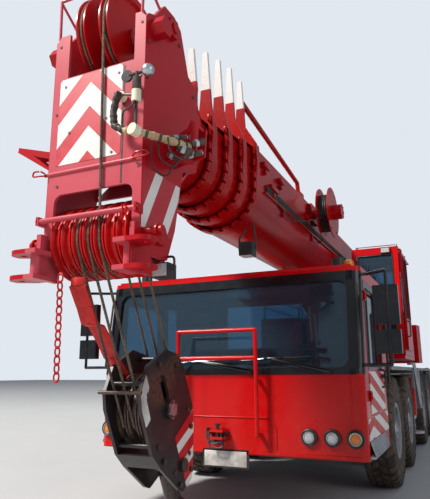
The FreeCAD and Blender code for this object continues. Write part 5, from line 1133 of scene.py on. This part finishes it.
class CRANE_OT_paint_nodes(bpy.types.Operator):
    """Gives each CAD node its finish"""
    bl_idname = "crane.paint_nodes"
    bl_label = "Paint the CAD parts"

    def execute(self, context):
        make_finishes(context.scene.crane_colours)
        for name, node in NODES.items():
            node.data.materials.clear()
            node.data.materials.append(FINISH[finish_for(name)])
        return {"FINISHED"}


class CRANE_OT_stage(bpy.types.Operator):
    """Builds the pale floor, the soft studio lamps and the camera"""
    bl_idname = "crane.stage"
    bl_label = "Studio"

    def execute(self, context):
        scene = context.scene
        look = scene.crane_colours
        bm = bmesh.new()
        bmesh.ops.create_grid(bm, x_segments=1, y_segments=1, size=90)
        mesh = bpy.data.meshes.new("studio_floor")
        bm.to_mesh(mesh)
        bm.free()
        floor = bpy.data.objects.new("studio_floor", mesh)
        scene.collection.objects.link(floor)
        made = Recipe("Pale floor", tuple(look.floor), 0.8)
        made.over(shade(190, 190, 188), made.noise(0.6, 3, 0.3, 0.8))
        mesh.materials.append(made.material)

        world = bpy.data.worlds.new("Studio")
        scene.world = world
        world.use_nodes = True
        nodes, links = world.node_tree.nodes, world.node_tree.links
        seen, lit = nodes["Background"], nodes.new("ShaderNodeBackground")
        seen.inputs["Color"].default_value = shade(226, 232, 240)
        seen.inputs["Strength"].default_value = 1.0
        lit.inputs["Color"].default_value = shade(222, 232, 246)
        lit.inputs["Strength"].default_value = look.sky_light
        path = nodes.new("ShaderNodeLightPath")
        add = nodes.new("ShaderNodeMath")
        add.operation = "MAXIMUM"
        links.new(path.outputs["Is Camera Ray"], add.inputs[0])
        links.new(path.outputs["Is Transmission Ray"], add.inputs[1])
        mix = nodes.new("ShaderNodeMixShader")
        links.new(add.outputs[0], mix.inputs["Fac"])
        links.new(lit.outputs[0], mix.inputs[1])
        links.new(seen.outputs[0], mix.inputs[2])
        links.new(mix.outputs[0], nodes["World Output"].inputs["Surface"])

        # Lamps. Columns: name, place, aim, width, power, colour
        for name, place, aim, width, power, colour in (
                ("key", (-27, -34, 44), (0, -3, 2.4), 11, look.key_light, (1, 0.97, 0.92)),
                ("fill", (12, -8, 7), (0, -2, 2), 8, look.key_light * 0.0053, (0.88, 0.94, 1)),
                ("rim", (-7, 15, 12), (0, 0, 2.5), 9, look.key_light * 0.0105, (1, 1, 1))):
            data = bpy.data.lights.new(name, "AREA")
            data.shape = "DISK"
            data.size = width
            data.energy = power
            data.color = colour
            lamp = bpy.data.objects.new(name, data)
            scene.collection.objects.link(lamp)
            lamp.location = place
            lamp.rotation_euler = (Vector(aim) - Vector(place)).to_track_quat("-Z", "Y").to_euler()

        data = bpy.data.cameras.new("photo_view")
        data.lens = 38.39
        data.sensor_width = 36
        camera = bpy.data.objects.new("photo_view", data)
        scene.collection.objects.link(camera)
        camera.location = (2.3505, -9.313, 1.4246)
        yaw, pitch, roll = 0.4325, 0.2277, -0.0047
        camera.rotation_euler = (Matrix.Rotation(yaw, 4, "Z") @ Matrix.Rotation(math.pi / 2 + pitch, 4, "X")
                                 @ Matrix.Rotation(roll, 4, "Z")).to_euler()
        data.clip_end = 400
        scene.camera = camera
        scene.view_settings.view_transform = "Standard"
        return {"FINISHED"}


class CraneSizes(bpy.types.PropertyGroup):
    """Sizes of the fittings that are added to the CAD parts"""
    tread_depth: bpy.props.FloatProperty(name="Tread depth", description="Depth of the tyre tread", default=0.022, unit="LENGTH")
    lug_count: bpy.props.IntProperty(name="Tread lugs", description="Tread lugs on each side of a tyre", default=34)
    wheel_nuts: bpy.props.IntProperty(name="Wheel nuts", description="Nuts on each wheel", default=10)
    rope_radius: bpy.props.FloatProperty(name="Rope radius", description="Radius of the hoist rope", default=0.011, unit="LENGTH")
    rope_lay: bpy.props.FloatProperty(name="Rope lay", description="Length of one turn of a strand", default=0.13, unit="LENGTH")


class CraneColours(bpy.types.PropertyGroup):
    """Colours and light of the finished crane"""
    red: bpy.props.FloatVectorProperty(name="Red", description="Main paint", subtype="COLOR", size=4, default=shade(192, 4, 10))
    # Pale pink of the boom head's front: painted sunlight on the red paint
    sunlit_head_red: bpy.props.FloatVectorProperty(name="Sunlit head red", description="Pale pink of the boom head's front, painted sunlight", subtype="COLOR", size=4,
                                             default=shade(190, 72, 84))
    white: bpy.props.FloatVectorProperty(name="White", description="White of stripes and horns", subtype="COLOR", size=4,
                                         default=shade(226, 220, 216))
    floor: bpy.props.FloatVectorProperty(name="Floor", description="Studio floor", subtype="COLOR", size=4, default=shade(184, 184, 184))
    chevron_pitch: bpy.props.FloatProperty(name="Chevron pitch", description="Height of one red and one white chevron", default=0.365,
                                           unit="LENGTH")
    key_light: bpy.props.FloatProperty(name="Key light", description="Power of the main lamp", default=51000)
    sky_light: bpy.props.FloatProperty(name="Sky light", description="Strength of the light from all round", default=0.42)


STEPS = (CRANE_OT_paint_nodes, CRANE_OT_tyres, CRANE_OT_wheel_trim, CRANE_OT_cab_front, CRANE_OT_cab_sides, CRANE_OT_carrier_sides,
         CRANE_OT_head_fittings, CRANE_OT_ropes, CRANE_OT_hook_block, CRANE_OT_boom_fittings, CRANE_OT_superstructure_trim,
         CRANE_OT_crane_cab_trim, CRANE_OT_outrigger_trim, CRANE_OT_stage)


class CRANE_PT_panel(bpy.types.Panel):
    """Lists the crane's sizes, colours and building steps"""
    bl_idname = "CRANE_PT_panel"
    bl_label = "Mobile Crane"
    bl_space_type = "VIEW_3D"
    bl_region_type = "UI"
    bl_category = "Crane"

    def draw(self, context):
        for group in (context.scene.crane_sizes, context.scene.crane_colours):
            for name in group.bl_rna.properties.keys():
                if name not in ("rna_type", "name"):
                    self.layout.prop(group, name)
        for step in STEPS:
            self.layout.operator(step.bl_idname)


CLASSES = (CraneSizes, CraneColours) + STEPS + (CRANE_PT_panel,)


def register():
    for item in CLASSES:
        bpy.utils.register_class(item)
    bpy.types.Scene.crane_sizes = bpy.props.PointerProperty(type=CraneSizes)
    bpy.types.Scene.crane_colours = bpy.props.PointerProperty(type=CraneColours)


def unregister():
    del bpy.types.Scene.crane_colours
    del bpy.types.Scene.crane_sizes
    for item in reversed(CLASSES):
        bpy.utils.unregister_class(item)


def main():
    register()
    for step in STEPS:
        getattr(bpy.ops.crane, step.bl_idname.split(".")[1])()


if __name__ == "__main__":
    main()
